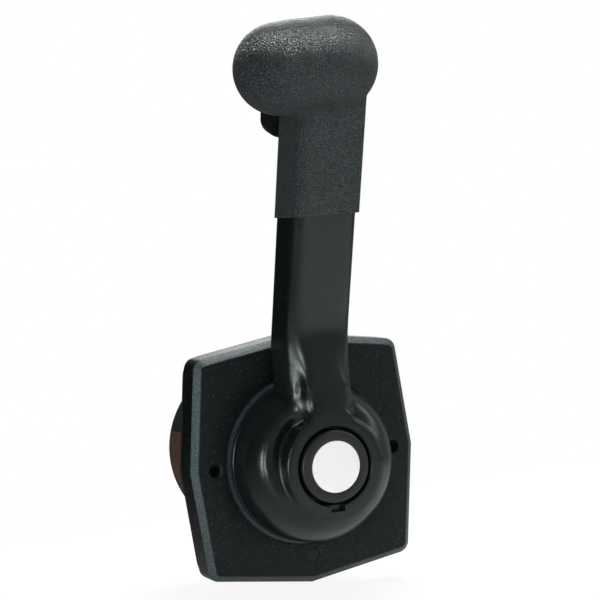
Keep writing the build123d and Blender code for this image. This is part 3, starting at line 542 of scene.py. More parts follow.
def textured_plastic(name, base, depth, roughness, shine, slope=None):
    """Spark-eroded moulding: fine pits, with painted highlights on the grain's raised peaks, painted
    highlight specks, and a painted highlight on the sloping rim between two Y.
    """
    finish = Finish(name, Specular_IOR_Level=0.3, Specular_Tint=COOL)
    fine = finish.noise(1500, 2)
    pits = finish.cells(850)
    height = fine * 0.6 + pits * 0.15
    # Painted highlight: where the fine grain stands high, the colour is made paler.
    painted_tips = finish.ramp(fine, (0.5, 0), (0.7, 1))
    # Painted highlight specks: near the middles of the pits, where the fine grain is high, the colour is
    # raised by the shine gain.
    painted_glints = finish.ramp(pits, (0.1, 1), (0.22, 0)) * finish.ramp(fine, (0.5, 0), (0.6, 1))
    wear = finish.noise(35, 3)
    shade = finish.mix(painted_tips, rgba(base, 0.7), rgba(base, 3.4))
    shade = finish.mix(painted_glints, shade, rgba(base, shine))
    # Painted highlight: between the two Y of the sloping rim the colour is made far paler, most on the
    # grain's raised peaks.
    if slope:
        top, foot = slope
        y = finish.node("ShaderNodeSeparateXYZ", {}, {0: finish.place}, "Y")
        below_top = finish.ramp(y, (top, 0), (top + 0.5 * MM, 1))
        above_foot = finish.ramp(y, (foot - 0.3 * MM, 1), (foot + 0.3 * MM, 0))
        painted_rim_highlight = below_top * above_foot * (0.35 + painted_tips * 0.65)
        shade = finish.mix(painted_rim_highlight, shade, rgba(base, 30))
    rough = finish.ramp(wear, (0.3, roughness - 0.05), (0.7, roughness + 0.07))
    return finish.surface(shade, rough, height, depth)


def leather_rubber(name, base):
    """Grip skin: wrinkled leather grain with fine pores, with painted shade in the grain's creases and a
    painted highlight on the pebbles.
    """
    finish = Finish(name, Specular_IOR_Level=0.5, Specular_Tint=COOL)
    drift = finish.noise(260, 2)
    wavy = finish.node("ShaderNodeVectorMath", {"operation": "MULTIPLY_ADD"}, {
        0: finish.node("ShaderNodeTexNoise", {}, {"Vector": finish.place, "Scale": 300.0}, 1),
        1: (0.0012, 0.0012, 0.0012), 2: finish.place})
    edges = finish.cells(800, "DISTANCE_TO_EDGE", wavy)
    pores = finish.noise(2600, 2)
    pebbles = finish.ramp(edges, (0.0, 0.0), (0.28, 1.0))
    height = pebbles * 0.8 + pores * 0.5 + drift * 0.35
    # Painted shade and highlight: the colour is darkened in the creases between the pebbles and lightened on
    # their tops.
    shade = finish.mix(pebbles * 0.75 + pores * 0.25, rgba(base, 0.12), rgba(base, 1.75))
    rough = finish.ramp(pores + pebbles * 0.3, (0.4, 0.3), (1.0, 0.46))
    return finish.surface(shade, rough, height, 0.003)


def casting_paint(name, base):
    """Semi-gloss paint with a little orange peel."""
    finish = Finish(name, Specular_IOR_Level=0.5, Specular_Tint=COOL)
    peel = finish.noise(420, 2)
    cloud = finish.noise(28, 3)
    dust = finish.noise(2600, 2)
    shade = finish.mix(cloud, rgba(base, 0.9), rgba(base, 1.2))
    rough = finish.ramp(cloud + dust * 0.3, (0.45, 0.25), (0.85, 0.31))
    return finish.surface(shade, rough, peel + dust * 0.15, 0.00003)


def satin_plastic(name, base, roughness):
    """Smooth moulding with a faint cloudiness."""
    finish = Finish(name, Specular_IOR_Level=0.5)
    fine = finish.noise(2100, 3)
    cloud = finish.noise(60, 3)
    shade = finish.mix(fine * 0.7 + cloud * 0.3, rgba(base, 0.8), rgba(base, 1.3))
    rough = finish.ramp(cloud, (0.3, roughness - 0.06), (0.7, roughness + 0.06))
    return finish.surface(shade, rough, fine, 0.00004)


def white_disc(name, base):
    """Printed white face with a faint satin tooth."""
    finish = Finish(name, Specular_IOR_Level=0.4)
    tooth = finish.noise(1800, 2)
    cloud = finish.noise(90, 2)
    shade = finish.mix(cloud * 0.5 + tooth * 0.3, rgba(base, 0.965), rgba(base, 1))
    rough = finish.ramp(tooth, (0.3, 0.34), (0.7, 0.42))
    return finish.surface(shade, rough, tooth, 0.00001)


def laminate(name, base):
    """Phenolic laminate: thin plies along the shaft, with fabric fleck."""
    finish = Finish(name, Specular_IOR_Level=0.4)
    plies = finish.noise(60, 4, vector=finish.stretched((1, 22, 1)))
    fleck = finish.noise(900, 3)
    shade = finish.mix(plies * 0.7 + fleck * 0.3, rgba(base, 0.62), rgba(base, 1.5))
    rough = finish.ramp(fleck, (0.3, 0.5), (0.7, 0.66))
    return finish.surface(shade, rough, fleck + plies, 0.00005)


def plated_steel(name, base, roughness):
    """Plated or bare steel with uneven brightness."""
    finish = Finish(name, Metallic=1.0)
    fine = finish.noise(700)
    cloud = finish.noise(70, 4)
    shade = finish.mix(cloud, rgba(base, 0.78), rgba(base, 1.12))
    rough = finish.ramp(fine * 0.6 + cloud * 0.4, (0.3, roughness - 0.08), (0.7, roughness + 0.1))
    return finish.surface(shade, rough, fine, 0.000015)


def sintered_bronze(name, base):
    """Bearing bronze with open pores."""
    finish = Finish(name, Metallic=1.0)
    pores = finish.cells(2600)
    cloud = finish.noise(120, 3)
    shade = finish.mix(cloud, rgba(base, 0.7), rgba(base, 1.15))
    rough = finish.ramp(pores, (0.1, 0.5), (0.6, 0.34))
    return finish.surface(shade, rough, pores, 0.00004)


def foam_rubber(name, base):
    """Closed-cell foam."""
    finish = Finish(name, Specular_IOR_Level=0.3)
    foam = finish.cells(1300)
    fine = finish.noise(1800, 2)
    shade = finish.mix(foam, rgba(base, 1.3), rgba(base, 0.7))
    rough = finish.ramp(fine, (0.3, 0.75), (0.7, 0.9))
    return finish.surface(shade, rough, foam + fine * 0.5, 0.00012)


FINISHES = {}


def finishes():
    """One material for each material slot of the record, made on the first call."""
    if FINISHES:
        return FINISHES
    s = bpy.context.scene.control_plate
    c = bpy.context.scene.control_colours
    made = {
        # After bump depth and roughness: the gain of the painted highlight specks, then for the plate the Y
        # band of its sloping rim's painted highlight.
        "textured_plastic": (textured_plastic, c.plate, 0.00045, 0.34, 36, (s.front, s.front + s.chamfer)),
        "gasket_foam": (foam_rubber, c.foam),
        "painted_casting": (casting_paint, c.paint),
        "grip_rubber": (leather_rubber, c.grip),
        "gloss_plastic": (satin_plastic, c.release, 0.2),
        "cap_plastic": (satin_plastic, c.cap, 0.42),
        "disc_white": (white_disc, c.disc),
        "friction_material": (laminate, c.laminate),
        "zinc_steel": (plated_steel, c.zinc, 0.3),
        "spring_steel": (plated_steel, c.spring, 0.26),
        "bronze": (sintered_bronze, c.bronze),
        "black_housing": (textured_plastic, c.housing, 0.0002, 0.4, 4),
        "acetal": (satin_plastic, c.acetal, 0.45),
    }
    for slot, (maker, base, *details) in made.items():
        FINISHES[slot] = maker(slot, base, *details)
    return FINISHES


def dress(obj, slot):
    obj.data.materials.clear()
    obj.data.materials.append(finishes()[slot])


def stand_for(obj, body, slot, node, angle=40):
    """Finish a piece: smooth shading, material, body, slot and the CAD node that it stands for."""
    pick(obj)
    bpy.ops.object.shade_smooth_by_angle(angle=radians(angle))
    dress(obj, slot)
    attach(obj, body)
    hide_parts(node)


# --- Cover plate ---


def plate_corner(s):
    """Where a sloping side meets a sloping end, as (x, z)."""
    side, end = tan(s.side_slope), tan(s.end_slope)
    z = (s.half_height - s.half_width * end) / (1 - side * end)
    return s.half_width - z * side, z


def plate_blank(name, s, front, back, shrink=0.0):
    """Eight-sided cylinder whose upright edges are moved out to the plate's points."""
    blank = cylinder(name, 1, front, back, sides=8)
    corner_x, corner_z = plate_corner(s)
    goals = [(s.half_width, 0), (corner_x, corner_z), (0, s.half_height), (-corner_x, corner_z)]
    goals += [(-x, -z) for x, z in goals]
    for turn, (goal_x, goal_z) in enumerate(goals):
        x, z = cos(turn * pi / 4), sin(turn * pi / 4)
        choose(blank, lambda v: hypot(v.co.x - x, v.co.z - z) < 0.1, "VERT")
        bpy.ops.transform.translate(value=(goal_x - x, 0, goal_z - z))
        leave()
    size = 1 - shrink / s.half_width
    edit_all(blank)
    bpy.ops.transform.resize(value=(size, 1, size), center_override=(0, 0, 0))
    leave()

    def at_corner(edge):
        return abs(along(edge).y) > 0.9 and abs(middle(edge).x) > MM and abs(middle(edge).z) > MM

    return round_edges(blank, s.corner * size, 8, at_corner)


def pocket_mouth(s):
    """A test for the edges round the mouth of the plate's pocket."""
    def on_mouth(vertex):
        x, y, z = vertex.co
        return abs(y - s.front) < 0.01 * MM and abs(hypot(x, z) - s.pocket) < 0.1 * MM
    return lambda edge: all(on_mouth(vertex) for vertex in edge.verts)


def fixing_points(s):
    """The two side fixings, then the one at the bottom."""
    r = s.fixing_circle
    return [(r, 0), (-r, 0), (0, -r)]


class CONTROL_OT_cover_plate(Operator):
    """Plate with a sloping rim, a round pocket and its fixing holes"""
    bl_idname = "control.cover_plate"
    bl_label = "Cover plate"

    def execute(self, context):
        s = context.scene.control_plate
        plate = plate_blank("plate_moulding", s, s.front, s.back)
        round_edges(plate, s.chamfer, 1, at_y(s.front))
        round_edges(plate, s.edge, 3, at_y(s.front))
        round_edges(plate, s.edge, 3, at_y(s.front + s.chamfer, 0.1 * MM))
        cut(plate, plate_blank("hollow", s, s.front + s.skin, s.back + MM, s.wall))
        cut(plate, cylinder("pocket", s.pocket, s.front - MM, s.front + s.pocket_depth, sides=160))
        round_edges(plate, s.pocket_edge, 3, pocket_mouth(s))
        cut(plate, cylinder("opening", s.opening, s.front - MM, 0))
        for x, z in fixing_points(s):
            join(plate, cylinder("tube", s.counterbore + s.fixing_wall, s.front + 3 * MM, s.back, x, z, 32))
            cut(plate, cylinder("sink", s.counterbore, s.front - MM, s.front + s.sink, x, z, 40))
            cut(plate, cylinder("hole", s.fixing_hole, s.front, 0, x, z, 32))
        stand_for(plate, "base", "textured_plastic", "cover_plate", 35)
        return {"FINISHED"}


class CONTROL_OT_screw_plug(Operator):
    """Flush plug that closes the bottom fixing"""
    bl_idname = "control.screw_plug"
    bl_label = "Screw plug"

    def execute(self, context):
        s = context.scene.control_plate
        x, z = fixing_points(s)[-1]
        radius, below_face = s.counterbore - s.plug_gap, 0.05 * MM
        plug = cylinder("fixing_plug", radius, s.front + below_face, s.front + s.sink, x, z, 48)
        round_edges(plug, 0.4 * MM, 3, lambda e: all(v.co.y < s.front + MM for v in e.verts))
        stand_for(plug, "base", "textured_plastic", "screw_plug")
        return {"FINISHED"}


# --- Lever casting ---


# Flank of the dome as (radius, y) in millimetres, from the skirt in to the boss face.
DOME_FLANK = ((42.9, -29.5), (42.55, -32.2), (41.95, -35.2), (41.0, -38.4), (39.75, -41.6), (38.2, -44.6),
              (36.4, -47.4), (34.4, -49.9), (32.2, -52.0), (29.8, -53.6), (27.3, -54.6), (24.6, -55))

# Hollow behind the dome as (radius, y) in millimetres.
CAVITY = ((0, 0), (39.5, 0), (39.5, -27), (34, -36), (0, -36))

# Section of the band round the rim, as (radius, y) in millimetres from the skirt and the rim. It
# reaches past the rim, to be cut level with the skirt.
RIM_BAND = ((-3.5, 1), (0.1, 1), (0.1, 0), (0.4, -0.15), (0.5, -0.45), (0.5, -2), (0.2, -2.4),
            (-0.3, -2.7), (-3.5, -2.7), (-3.5, 1))

# Front of the strip as (y, z) in millimetres, from the boss to where it has run out in the arm.
STRIP_FRONT = ((-54.4, 37), (-53.2, 44), (-51.8, 51), (-50.5, 58), (-49.7, 65), (-49.9, 71))

# Rings round the boss that are relaxed in turn: inner and outer radius, the Y they stay in front of,
# in millimetres, and the number of rounds.
VALLEY_RINGS = ((29.2, 40.5, -40, 160), (28.8, 41.5, -38, 50), (28.5, 42.4, -36, 14))

# Bands of the arm's foot that are relaxed in turn: lower and upper Z in millimetres, and the rounds.
FOOT_BANDS = ((46, 84, 60), (42, 90, 30), (38, 96, 12))
FOOT_HALF = 17 * MM

# Size of a block that cuts off all that lies on one side of a level.
WASTE = (0.2, 0.3, 0.1)


def dome(s):
    """Skirt wall, then a full curve that runs flush into the boss face."""
    skirt = s.skirt / MM
    return turned("lever_casting", [(0, -9), (skirt, -9), (skirt, -27), *DOME_FLANK, (0, s.face / MM)], 128)


def ring_valley(s):
    """Ring that cuts the valley round the boss."""
    deselect()
    bpy.ops.mesh.primitive_torus_add(
        major_radius=s.valley, minor_radius=s.valley_section, major_segments=128, minor_segments=40,
        rotation=(pi / 2, 0, 0))
    axis = Vector((-sin(s.valley_deep), 0, cos(s.valley_deep)))
    return tip(settle(named("valley")), s.valley_tilt, axis, Vector((0, s.valley_centre, 0)))


def arm_side(s):
    """Side view of the arm as (y, z): an upright foot, then the leaning beam."""
    slope = tan(s.lean)
    half = s.arm_thickness / 2 / cos(s.lean)
    front_bend = (s.axis - half - s.foot_front) / slope
    back_bend = (s.axis + half - s.foot_back) / slope
    low, top = 20 * MM, 150 * MM
    soft, ease = 9 * MM, 0.22
    return [
        (s.foot_front, low), (s.foot_front, front_bend - soft),
        (s.foot_front - soft * slope * ease, front_bend),
        (s.axis - half - (front_bend + soft) * slope, front_bend + soft),
        (s.axis - half - top * slope, top), (s.axis + half - top * slope, top),
        (s.foot_back, back_bend), (s.foot_back, low),
    ]


def arm_beam(s):
    """The arm, with its front edges rounded more than its back ones."""
    beam = pulled("beam", [(-s.arm_width / 2, y, z) for y, z in arm_side(s)], (s.arm_width, 0, 0))

    def lengthways(edge):
        return abs(along(edge).x) < 0.1 and abs(along(edge).z) > 0.6

    def behind_axis(edge):
        centre = middle(edge)
        return centre.y - s.axis + max(centre.z, 30 * MM) * tan(s.lean)

    def at_side(edge):
        return abs(middle(edge).x) > s.arm_width / 2 - 0.1 * MM

    round_edges(beam, 6 * MM, 6, lambda e: lengthways(e) and behind_axis(e) < 0)
    round_edges(beam, 4 * MM, 5, lambda e: lengthways(e) and behind_axis(e) > 4 * MM and at_side(e))
    return beam


def keyhole_top(s):
    """Round boss and strip, proud of the dome and of the arm's foot."""
    root, start = -40 * MM, 31 * MM
    boss = cylinder("plateau", s.boss, s.face, root, sides=128)
    front = [(y * MM, z * MM) for y, z in STRIP_FRONT]
    side = [(s.face, 0), (s.face, start), *front, (root, front[-1][1]), (root, 0)]
    join(boss, pulled("strip", [(-s.strip / 2, y, z) for y, z in side], (s.strip, 0, 0)))

    def in_corner(edge):
        x, _, z = middle(edge)
        return abs(along(edge).y) > 0.8 and 0.45 < abs(x) / s.strip < 0.55 and 0.8 < z / s.boss < 1

    return round_edges(boss, 5 * MM, 8, in_corner)


def soften_ring(casting, inner, outer, front, rounds):
    soften(casting, rounds, lambda v: inner * MM < hypot(v.co.x, v.co.z) < outer * MM and v.co.y < front * MM)


def soften_foot(casting, low, high, rounds):
    soften(casting, rounds, lambda v: low * MM < v.co.z < high * MM and abs(v.co.x) < FOOT_HALF)


def hub_inside(casting, s):
    """Recess for the hub button with its notch, the tube behind it, and the bore for the shaft."""
    wide, face = s.recess / MM, s.face / MM
    cut(casting, turned("recess", [
        (0, face - 2), (wide + 2, face - 2), (wide + 0.7, face - 0.1), (wide, face + 0.6),
        (wide, face + 16), (0, face + 16)], 128))
    cut(casting, block("notch", (8 * MM, 6 * MM, 6 * MM), (0, s.face + MM, -s.recess)))
    join(casting, cylinder("tube", s.tube, -37 * MM, -16.7 * MM))
    cut(casting, cylinder("bore", s.bore, -38 * MM, 0))
    cut(casting, cylinder("thread", 6 * MM, -56 * MM, -30 * MM))


def rim_band(casting, s):
    """Put the rounded band round the skirt, then cut off all of both that lies behind the rim."""
    depth, skirt, rim = 20 * MM, s.skirt / MM, s.rim / MM
    join(casting, turned("rim_band", [(skirt + radius, rim + y) for radius, y in RIM_BAND], 160))
    cut(casting, block("behind_rim", (0.1, depth, 0.1), (0, s.rim + depth / 2, 0)))


class CONTROL_OT_lever_casting(Operator):
    """Domed hub with a valley round its plateau, running up into the arm"""
    bl_idname = "control.lever_casting"
    bl_label = "Lever casting"

    def execute(self, context):
        s = context.scene.control_lever
        casting = dome(s)
        cut(casting, ring_valley(s))
        join(casting, arm_beam(s))
        join(casting, keyhole_top(s))
        cut(casting, turned("cavity", CAVITY, 96))
        blend_casting(casting, s.grain, 12)
        for ring in VALLEY_RINGS:
            soften_ring(casting, *ring)
        for band in FOOT_BANDS:
            soften_foot(casting, *band)
        cut(casting, block("above_arm", WASTE, (0, 0, s.arm_top + WASTE[2] / 2)))
        hub_inside(casting, s)
        rim_band(casting, s)
        stand_for(casting, "lever", "painted_casting", "lever_arm")
        return {"FINISHED"}


# --- Hand grip and finger release ---


def quarter(centre, radius, start, steps=12):
    """Quarter of a circle about (centre, 0), clockwise from an angle."""
    angles = [start - step * pi / 2 / steps for step in range(steps + 1)]
    return [(centre + radius * cos(angle), radius * sin(angle)) for angle in angles]


def knob_points(g):
    """Outline of the knob from its forward pole to its aft pole, as (x, radius)."""
    half = g.knob_span / 2
    waist = (g.knob + g.knob_forward) / 2 + 0.1 * MM
    saddle = [(-half * 0.5, waist), (0, waist), (half * 0.5, waist + 0.14 * MM)]
    return [*quarter(-half, g.knob_forward, pi), *saddle, *quarter(half, g.knob, pi / 2)]


class CONTROL_OT_hand_grip(Operator):
    """Palm knob moulded in one with its sleeve"""
    bl_idname = "control.hand_grip"
    bl_label = "Hand grip"

    def execute(self, context):
        g, s = context.scene.control_grip, context.scene.control_lever
        knob = spun(profile("hand_grip_skin", [(x, r, 0) for x, r in knob_points(g)], False), 96, (1, 0, 0))
        tip(knob, -g.droop, "Y", Vector((g.knob_aft - g.knob_span / 2, 0, g.knob_along)))
        width, depth = s.arm_width + 2 * g.skin, s.arm_thickness + 2 * g.skin
        neck = block("neck", (width, depth, g.knob_along - g.neck), (0, 0, (g.knob_along + g.neck) / 2))
        round_edges(neck, 6 * MM, 6, lambda e: abs(along(e).z) > 0.9)
        join(knob, neck)
        lean(knob, s)
        blend_casting(knob, g.grain, 2)
        cut(knob, block("below_grip", WASTE, (0, 0, g.bottom - WASTE[2] / 2)))
        stand_for(knob, "lever", "grip_rubber", "hand_grip", 50)
        return {"FINISHED"}


class CONTROL_OT_release_trigger(Operator):
    """Finger release under the knob"""
    bl_idname = "control.release_trigger"
    bl_label = "Release trigger"

    def execute(self, context):
        t = context.scene.control_trigger
        bar = block("finger_release", (t.width, t.thickness, t.height), (0, t.behind, t.along))
        round_edges(bar, t.corner, 10, lambda e: abs(along(e).y) > 0.9 and middle(e).z < t.along)
        round_edges(bar, t.edge, 4, lambda e: all(v.co.y > t.behind for v in e.verts))
        tongue, place = (8 * MM, 24 * MM, 7 * MM), (0, 9.4 * MM, 179.5 * MM)
        join(bar, block("tongue", tongue, place))
        lean(bar, context.scene.control_lever)
        stand_for(bar, "trigger", "gloss_plastic", "release_trigger")
        return {"FINISHED"}


# --- Hub button ---


class CONTROL_OT_hub_button(Operator):
    """Round push button with its pale disc"""
    bl_idname = "control.hub_button"
    bl_label = "Hub button"

    def execute(self, context):
        b = context.scene.control_button
        wide, pale = b.cap / MM, b.disc / MM
        face, end, socket = b.face / MM, b.end / MM, b.socket / MM
        seat, top = face + 0.8, face - b.proud / MM
        cap = turned("hub_button_cap", [
            (5, socket), (5, face + 3), (wide - 2, face + 3), (wide - 2, end - 0.3), (wide - 1.7, end),
            (wide - 0.3, end), (wide, end - 0.3), (wide, face + 1), (wide - 0.15, face + 0.5),
            (wide - 0.5, face + 0.15), (wide - 1, face), (pale + 0.65, face), (pale + 0.3, face + 0.1),
            (pale + 0.1, face + 0.3), (pale + 0.1, seat), (3, seat), (3, socket), (5, socket)], 128)
        stand_for(cap, "button", "cap_plastic", "button_cap", 35)
        disc = turned("hub_disc", [
            (0, seat), (pale - 0.05, seat), (pale, seat - 0.1), (pale, top + 0.25), (pale - 0.15, top + 0.08),
            (pale - 0.45, top), (0, top)], 128)
        stand_for(disc, "button", "disc_white", "button_disc", 35)
        return {"FINISHED"}


# --- Springs ---


def coil(name, radius, wire, height, turns):
    """A coil spring of round wire that stands on the origin and climbs along Z."""
    deselect()
    bpy.ops.mesh.primitive_circle_add(vertices=12, radius=wire, location=(radius, 0, 0),
                                      rotation=(pi / 2, 0, 0))
    spring = settle(named(name))
    add(spring, "SCREW", axis="Z", angle=2 * pi, screw_offset=height / turns, iterations=turns, steps=36,
        render_steps=36, use_merge_vertices=False)
    edit(spring, "EDGE")
    bpy.ops.mesh.select_non_manifold()
    bpy.ops.mesh.edge_face_add()
    leave()
    return outward(spring)


class CONTROL_OT_springs(Operator):
    """The springs of the hub button and the finger release"""
    bl_idname = "control.springs"
    bl_label = "Springs"

    def execute(self, context):
        s, arm = context.scene.control_springs, context.scene.control_lever
        press = coil("button_coil", s.button_coil, s.button_wire, s.button_length, 3)
        foot = Vector((0, s.button_foot, 0))
        tip(press, pi / 2, "X", foot - Vector((0, s.button_wire, 0)))
        full = s.button_length + 2 * s.button_wire
        self.fit(press, "button_spring", "button_press", (0, 1, 0), foot, full, s.press)
        lift = coil("release_coil", s.release_coil, s.release_wire, s.release_length, 4)
        full = s.release_length + 2 * s.release_wire
        lean(lift, arm, s.release_top - full + s.release_wire)
        top = arm_point(arm, s.release_top)
        self.fit(lift, "trigger_spring", "trigger_lift", up_arm(arm), top, full, s.lift)
        return {"FINISHED"}

    def fit(self, spring, node, joint, axis, anchor, full, travel):
        """Put a spring on the lever."""
        stand_for(spring, "lever", "spring_steel", node, 60)
        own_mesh(spring)


# --- Fasteners on the rear ---


# Pan head in section: share of the head's radius, share of its height.
PAN_HEAD = ((1, 0), (1, 0.4), (0.95, 0.6), (0.8, 0.8), (0.5, 0.95), (0, 1))

# Nuts on the two shafts: CAD node, body, and the middle of the nut's front face in millimetres.
ARM_NUTS = (
    ("shift_arm_nut", "shift_link", (0, 68.5, -28.1)),
    ("throttle_arm_nut", "throttle_link", (27, 74.5, 10)),
)


def spread(obj, places):
    """One object made of a copy of the piece at each (x, z)."""
    name, twins = obj.name, []
    for x, z in places:
        pick(obj)
        bpy.ops.object.duplicate()
        twin = bpy.context.object
        twin.location = (x, 0, z)
        twins.append(settle(twin))
    bpy.data.objects.remove(obj)
    deselect()
    for twin in twins:
        twin.select_set(True)
    bpy.context.view_layer.objects.active = twins[0]
    bpy.ops.object.join()
    twins[0].name = name
    return twins[0]


class CONTROL_OT_cover_screws(Operator):
    """Four pan-head screws with cross recesses, which hold the rear cover"""
    bl_idname = "control.cover_screws"
    bl_label = "Cover screws"

    def execute(self, context):
        s = context.scene.control_rear
        back, head, height = s.cover_back / MM, s.screw_head / MM, s.screw_height / MM
        shank, front = s.screw_shank / MM, (s.cover_back - s.screw_length) / MM
        pan = [(head * radius, back + height * y) for radius, y in PAN_HEAD]
        screw = turned("pan_head_screws", [(0, front), (shank, front), (shank, back), *pan], 40)
        far, narrow = s.screw_head * 1.2, s.screw_head * 0.26
        for x, z in ((far, narrow), (narrow, far)):
            cut(screw, block("recess", (x, 2.4 * MM, z), (0, s.cover_back + s.screw_height, 0)))
        near = s.screw_circle * cos(pi / 4)
        screws = spread(screw, [(x, z) for x in (-near, near) for z in (-near, near)])
        stand_for(screws, "base", "zinc_steel", "cover_screws", 30)
        return {"FINISHED"}


class CONTROL_OT_arm_nuts(Operator):
    """Chamfered nuts on the shift and throttle shafts"""
    bl_idname = "control.arm_nuts"
    bl_label = "Arm nuts"

    def execute(self, context):
        s = context.scene.control_rear
        corner = s.nut / cos(pi / 6)
        for node, body, place in ARM_NUTS:
            x, y, z = (value * MM for value in place)
            rear = y + s.nut_height
            hexagon = [(x + corner * cos(k * pi / 3), y, z + corner * sin(k * pi / 3)) for k in range(6)]
            nut = pulled(f"{body}_nut", hexagon, (0, s.nut_height, 0))
            round_edges(nut, 0.6 * MM, 2, at_y(rear))
            cut(nut, cylinder("bore", s.nut_bore, y - MM, rear + MM, x, z, 48))
            stand_for(nut, body, "zinc_steel", node, 30)
        return {"FINISHED"}


# --- CAD parts that stay in view ---


class CONTROL_OT_finishes(Operator):
    """Give each CAD part its finish"""
    bl_idname = "control.finishes"
    bl_label = "Finishes"

    def execute(self, context):
        slots = {item["node"]: item["material_slot"] for item in frame["record"]["subparts"]}
        for node, obj in frame["nodes"].items():
            dress(obj, slots[node])
        return {"FINISHED"}


# --- Stage ---


# The camera: where it stands as seen from the origin, how far off the origin it aims, and its roll.
VIEW_YAW = radians(23.55)
VIEW_PITCH = radians(8.61)
VIEW_DISTANCE = 1.1
AIM_YAW = radians(0.55)
AIM_PITCH = radians(4.34)
VIEW_ROLL = radians(4.13)
LENS = 121.8

# Floor: size, and the X and Y of its middle.
FLOOR_SIZE = 4
FLOOR_X, FLOOR_Y = 0.6, -1.75

# Lamps: name, which is also its setting's, place, aim and size.
LAMPS = (
    ("key", (1.0, -0.62, 0.72), (0, -0.03, 0.06), (0.6, 0.6)),
    ("side", (-0.68, -0.8, -0.03), (0, 0, 0), (0.2, 0.34)),
    ("edge", (-0.95, -0.42, -0.02), (0, 0, 0), (0.1, 0.5)),
    ("top", (0.25, 0.15, 1.0), (0, -0.03, 0.1), (0.5, 0.35)),
    ("rear", (0.5, 1.1, 0.7), (0, 0, 0.05), (0.6, 0.6)),
)


def direction(turn, rise):
    """Straight into the panel, turned aft and then raised."""
    return Vector((sin(turn) * cos(rise), cos(turn) * cos(rise), sin(rise)))


def camera_frame():
    """The camera's place and its three axes as one matrix."""
    turn = VIEW_YAW + AIM_YAW
    ahead = direction(turn, AIM_PITCH - VIEW_PITCH)
    side = Vector((cos(turn), -sin(turn), 0))
    up = side.cross(ahead)
    right = cos(VIEW_ROLL) * side - sin(VIEW_ROLL) * up
    top = sin(VIEW_ROLL) * side + cos(VIEW_ROLL) * up
    matrix = Matrix((right, top, -ahead)).transposed().to_4x4()
    matrix.translation = -VIEW_DISTANCE * direction(VIEW_YAW, -VIEW_PITCH)
    return matrix


def area_lamp(name, place, aim, size, power):
    deselect()
    bpy.ops.object.light_add(type="AREA", location=place)
    lamp = bpy.context.object
    lamp.name = name
    lamp.data.shape = "RECTANGLE"
    lamp.data.size, lamp.data.size_y = size
    lamp.data.energy = power
    lamp.rotation_euler = (Vector(aim) - Vector(place)).to_track_quat("-Z", "Y").to_euler()


class CONTROL_OT_stage(Operator):
    """Pale floor, soft lamps and the camera"""
    bl_idname = "control.stage"
    bl_label = "Stage"

    def execute(self, context):
        t = context.scene.control_stage
        floor_z = min(corner[2] for corner in CAD_BOX)
        deselect()
        bpy.ops.mesh.primitive_plane_add(size=FLOOR_SIZE, location=(FLOOR_X, FLOOR_Y, floor_z))
        floor = settle(named("floor"))
        floor.data.materials.append(pale_floor())
        world_light(t.ambient)
        for name, place, aim, size in LAMPS:
            area_lamp(name, place, aim, size, getattr(t, name))
        deselect()
        bpy.ops.object.camera_add()
        camera = bpy.context.object
        camera.name = "view"
        camera.matrix_world = camera_frame()
        camera.data.lens = LENS
        camera.data.sensor_width = 36
        context.scene.camera = camera
        context.scene.view_settings.view_transform = "Standard"
        return {"FINISHED"}


def pale_floor():
    """Floor that the lens sees close to white, with the object's shadow kept; in reflections it shows a
    painted pool of light round the object.
    """
    finish = Finish("pale_floor", Roughness=0.85)
    cloud = finish.noise(3, 2)
    shade = finish.mix(cloud, (0.82, 0.82, 0.82, 1), (0.86, 0.86, 0.86, 1))
    finish.tree.links.new(shade.socket, finish.shader.inputs["Base Color"])
    seen, glossy = finish.ray("Is Camera Ray"), finish.ray("Is Glossy Ray")
    # Painted pool of light: for reflections the floor's emission is bright near (0.2, -0.25) and dims with
    # distance from there.
    away = finish.node("ShaderNodeVectorMath", {"operation": "DISTANCE"},
                       {0: finish.place, 1: (0.2, -0.25, 0)}, "Value")
    level = finish.ramp(away, (0.12, 1.0), (0.5, 0.15))
    tint = finish.mix(glossy * (1 - level), (1, 1, 1, 1), (0, 0, 0, 1))
    backdrop_and_pool_glow = finish.node("ShaderNodeEmission", {}, {"Color": tint})
    plain = Wire(finish, finish.shader.outputs[0])
    blend = finish.node("ShaderNodeMixShader", {}, {0: seen * 0.9 + glossy, 1: plain, 2: backdrop_and_pool_glow})
    finish.tree.links.new(blend.socket, finish.tree.nodes["Material Output"].inputs[0])
    return finish.material


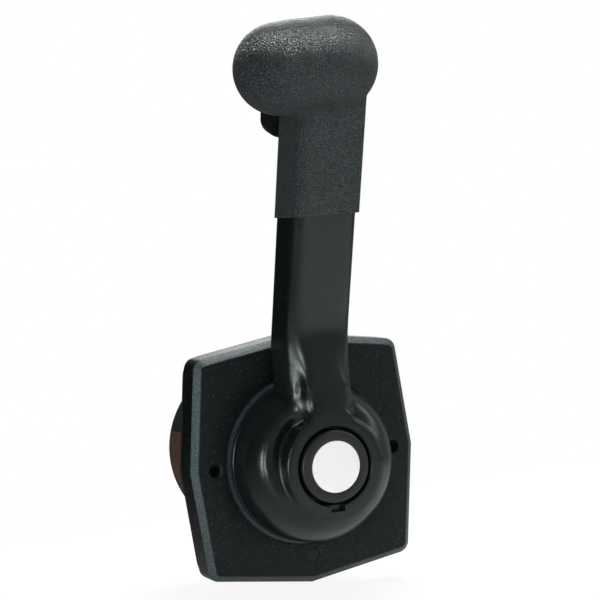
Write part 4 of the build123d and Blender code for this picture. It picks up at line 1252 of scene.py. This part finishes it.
def world_light(ambient):
    """White to the lens, a plain even light, and dim to the left and behind in reflections."""
    world = bpy.context.scene.world or bpy.data.worlds.new("surroundings")
    bpy.context.scene.world = world
    shading = Shading(world)
    place = shading.node("ShaderNodeTexCoord", {}, {}, "Generated")
    facing = shading.node("ShaderNodeVectorMath", {"operation": "DOT_PRODUCT"},
                          {0: place, 1: (0.8, -0.35, 0.1)}, "Value")
    seen, glossy = shading.ray("Is Camera Ray"), shading.ray("Is Glossy Ray")
    reflected = shading.ramp(facing, (-0.5, 0), (0.8, 0.36))
    level = ambient + (reflected - ambient) * glossy
    level = level + (1 - level) * seen
    back = shading.tree.nodes["Background"]
    back.inputs["Color"].default_value = (1, 1, 1, 1)
    shading.tree.links.new(level.socket, back.inputs["Strength"])


# --- Add-on ---


STEPS = (
    CONTROL_OT_finishes,
    CONTROL_OT_cover_plate,
    CONTROL_OT_screw_plug,
    CONTROL_OT_lever_casting,
    CONTROL_OT_hand_grip,
    CONTROL_OT_release_trigger,
    CONTROL_OT_hub_button,
    CONTROL_OT_springs,
    CONTROL_OT_cover_screws,
    CONTROL_OT_arm_nuts,
    CONTROL_OT_stage,
)


class CONTROL_PT_sidebar(Panel):
    """Lists the pieces and their sizes"""
    bl_label = "Boat Control"
    bl_space_type = "VIEW_3D"
    bl_region_type = "UI"
    bl_category = "Boat Control"

    def draw(self, context):
        for step in STEPS:
            self.layout.operator(step.bl_idname)
        for group in GROUPS:
            box = self.layout.box()
            sizes = getattr(context.scene, group)
            for key in sizes.__annotations__:
                box.prop(sizes, key)


def register():
    for group in GROUPS.values():
        bpy.utils.register_class(group)
    for name, group in GROUPS.items():
        setattr(bpy.types.Scene, name, PointerProperty(type=group))
    for step in STEPS:
        bpy.utils.register_class(step)
    bpy.utils.register_class(CONTROL_PT_sidebar)


def unregister():
    bpy.utils.unregister_class(CONTROL_PT_sidebar)
    for step in reversed(STEPS):
        bpy.utils.unregister_class(step)
    for name in GROUPS:
        delattr(bpy.types.Scene, name)
    for group in reversed(list(GROUPS.values())):
        bpy.utils.unregister_class(group)


def main():
    register()
    for step in STEPS:
        family, action = step.bl_idname.split(".")
        getattr(getattr(bpy.ops, family), action)()


if __name__ == "__main__":
    main()
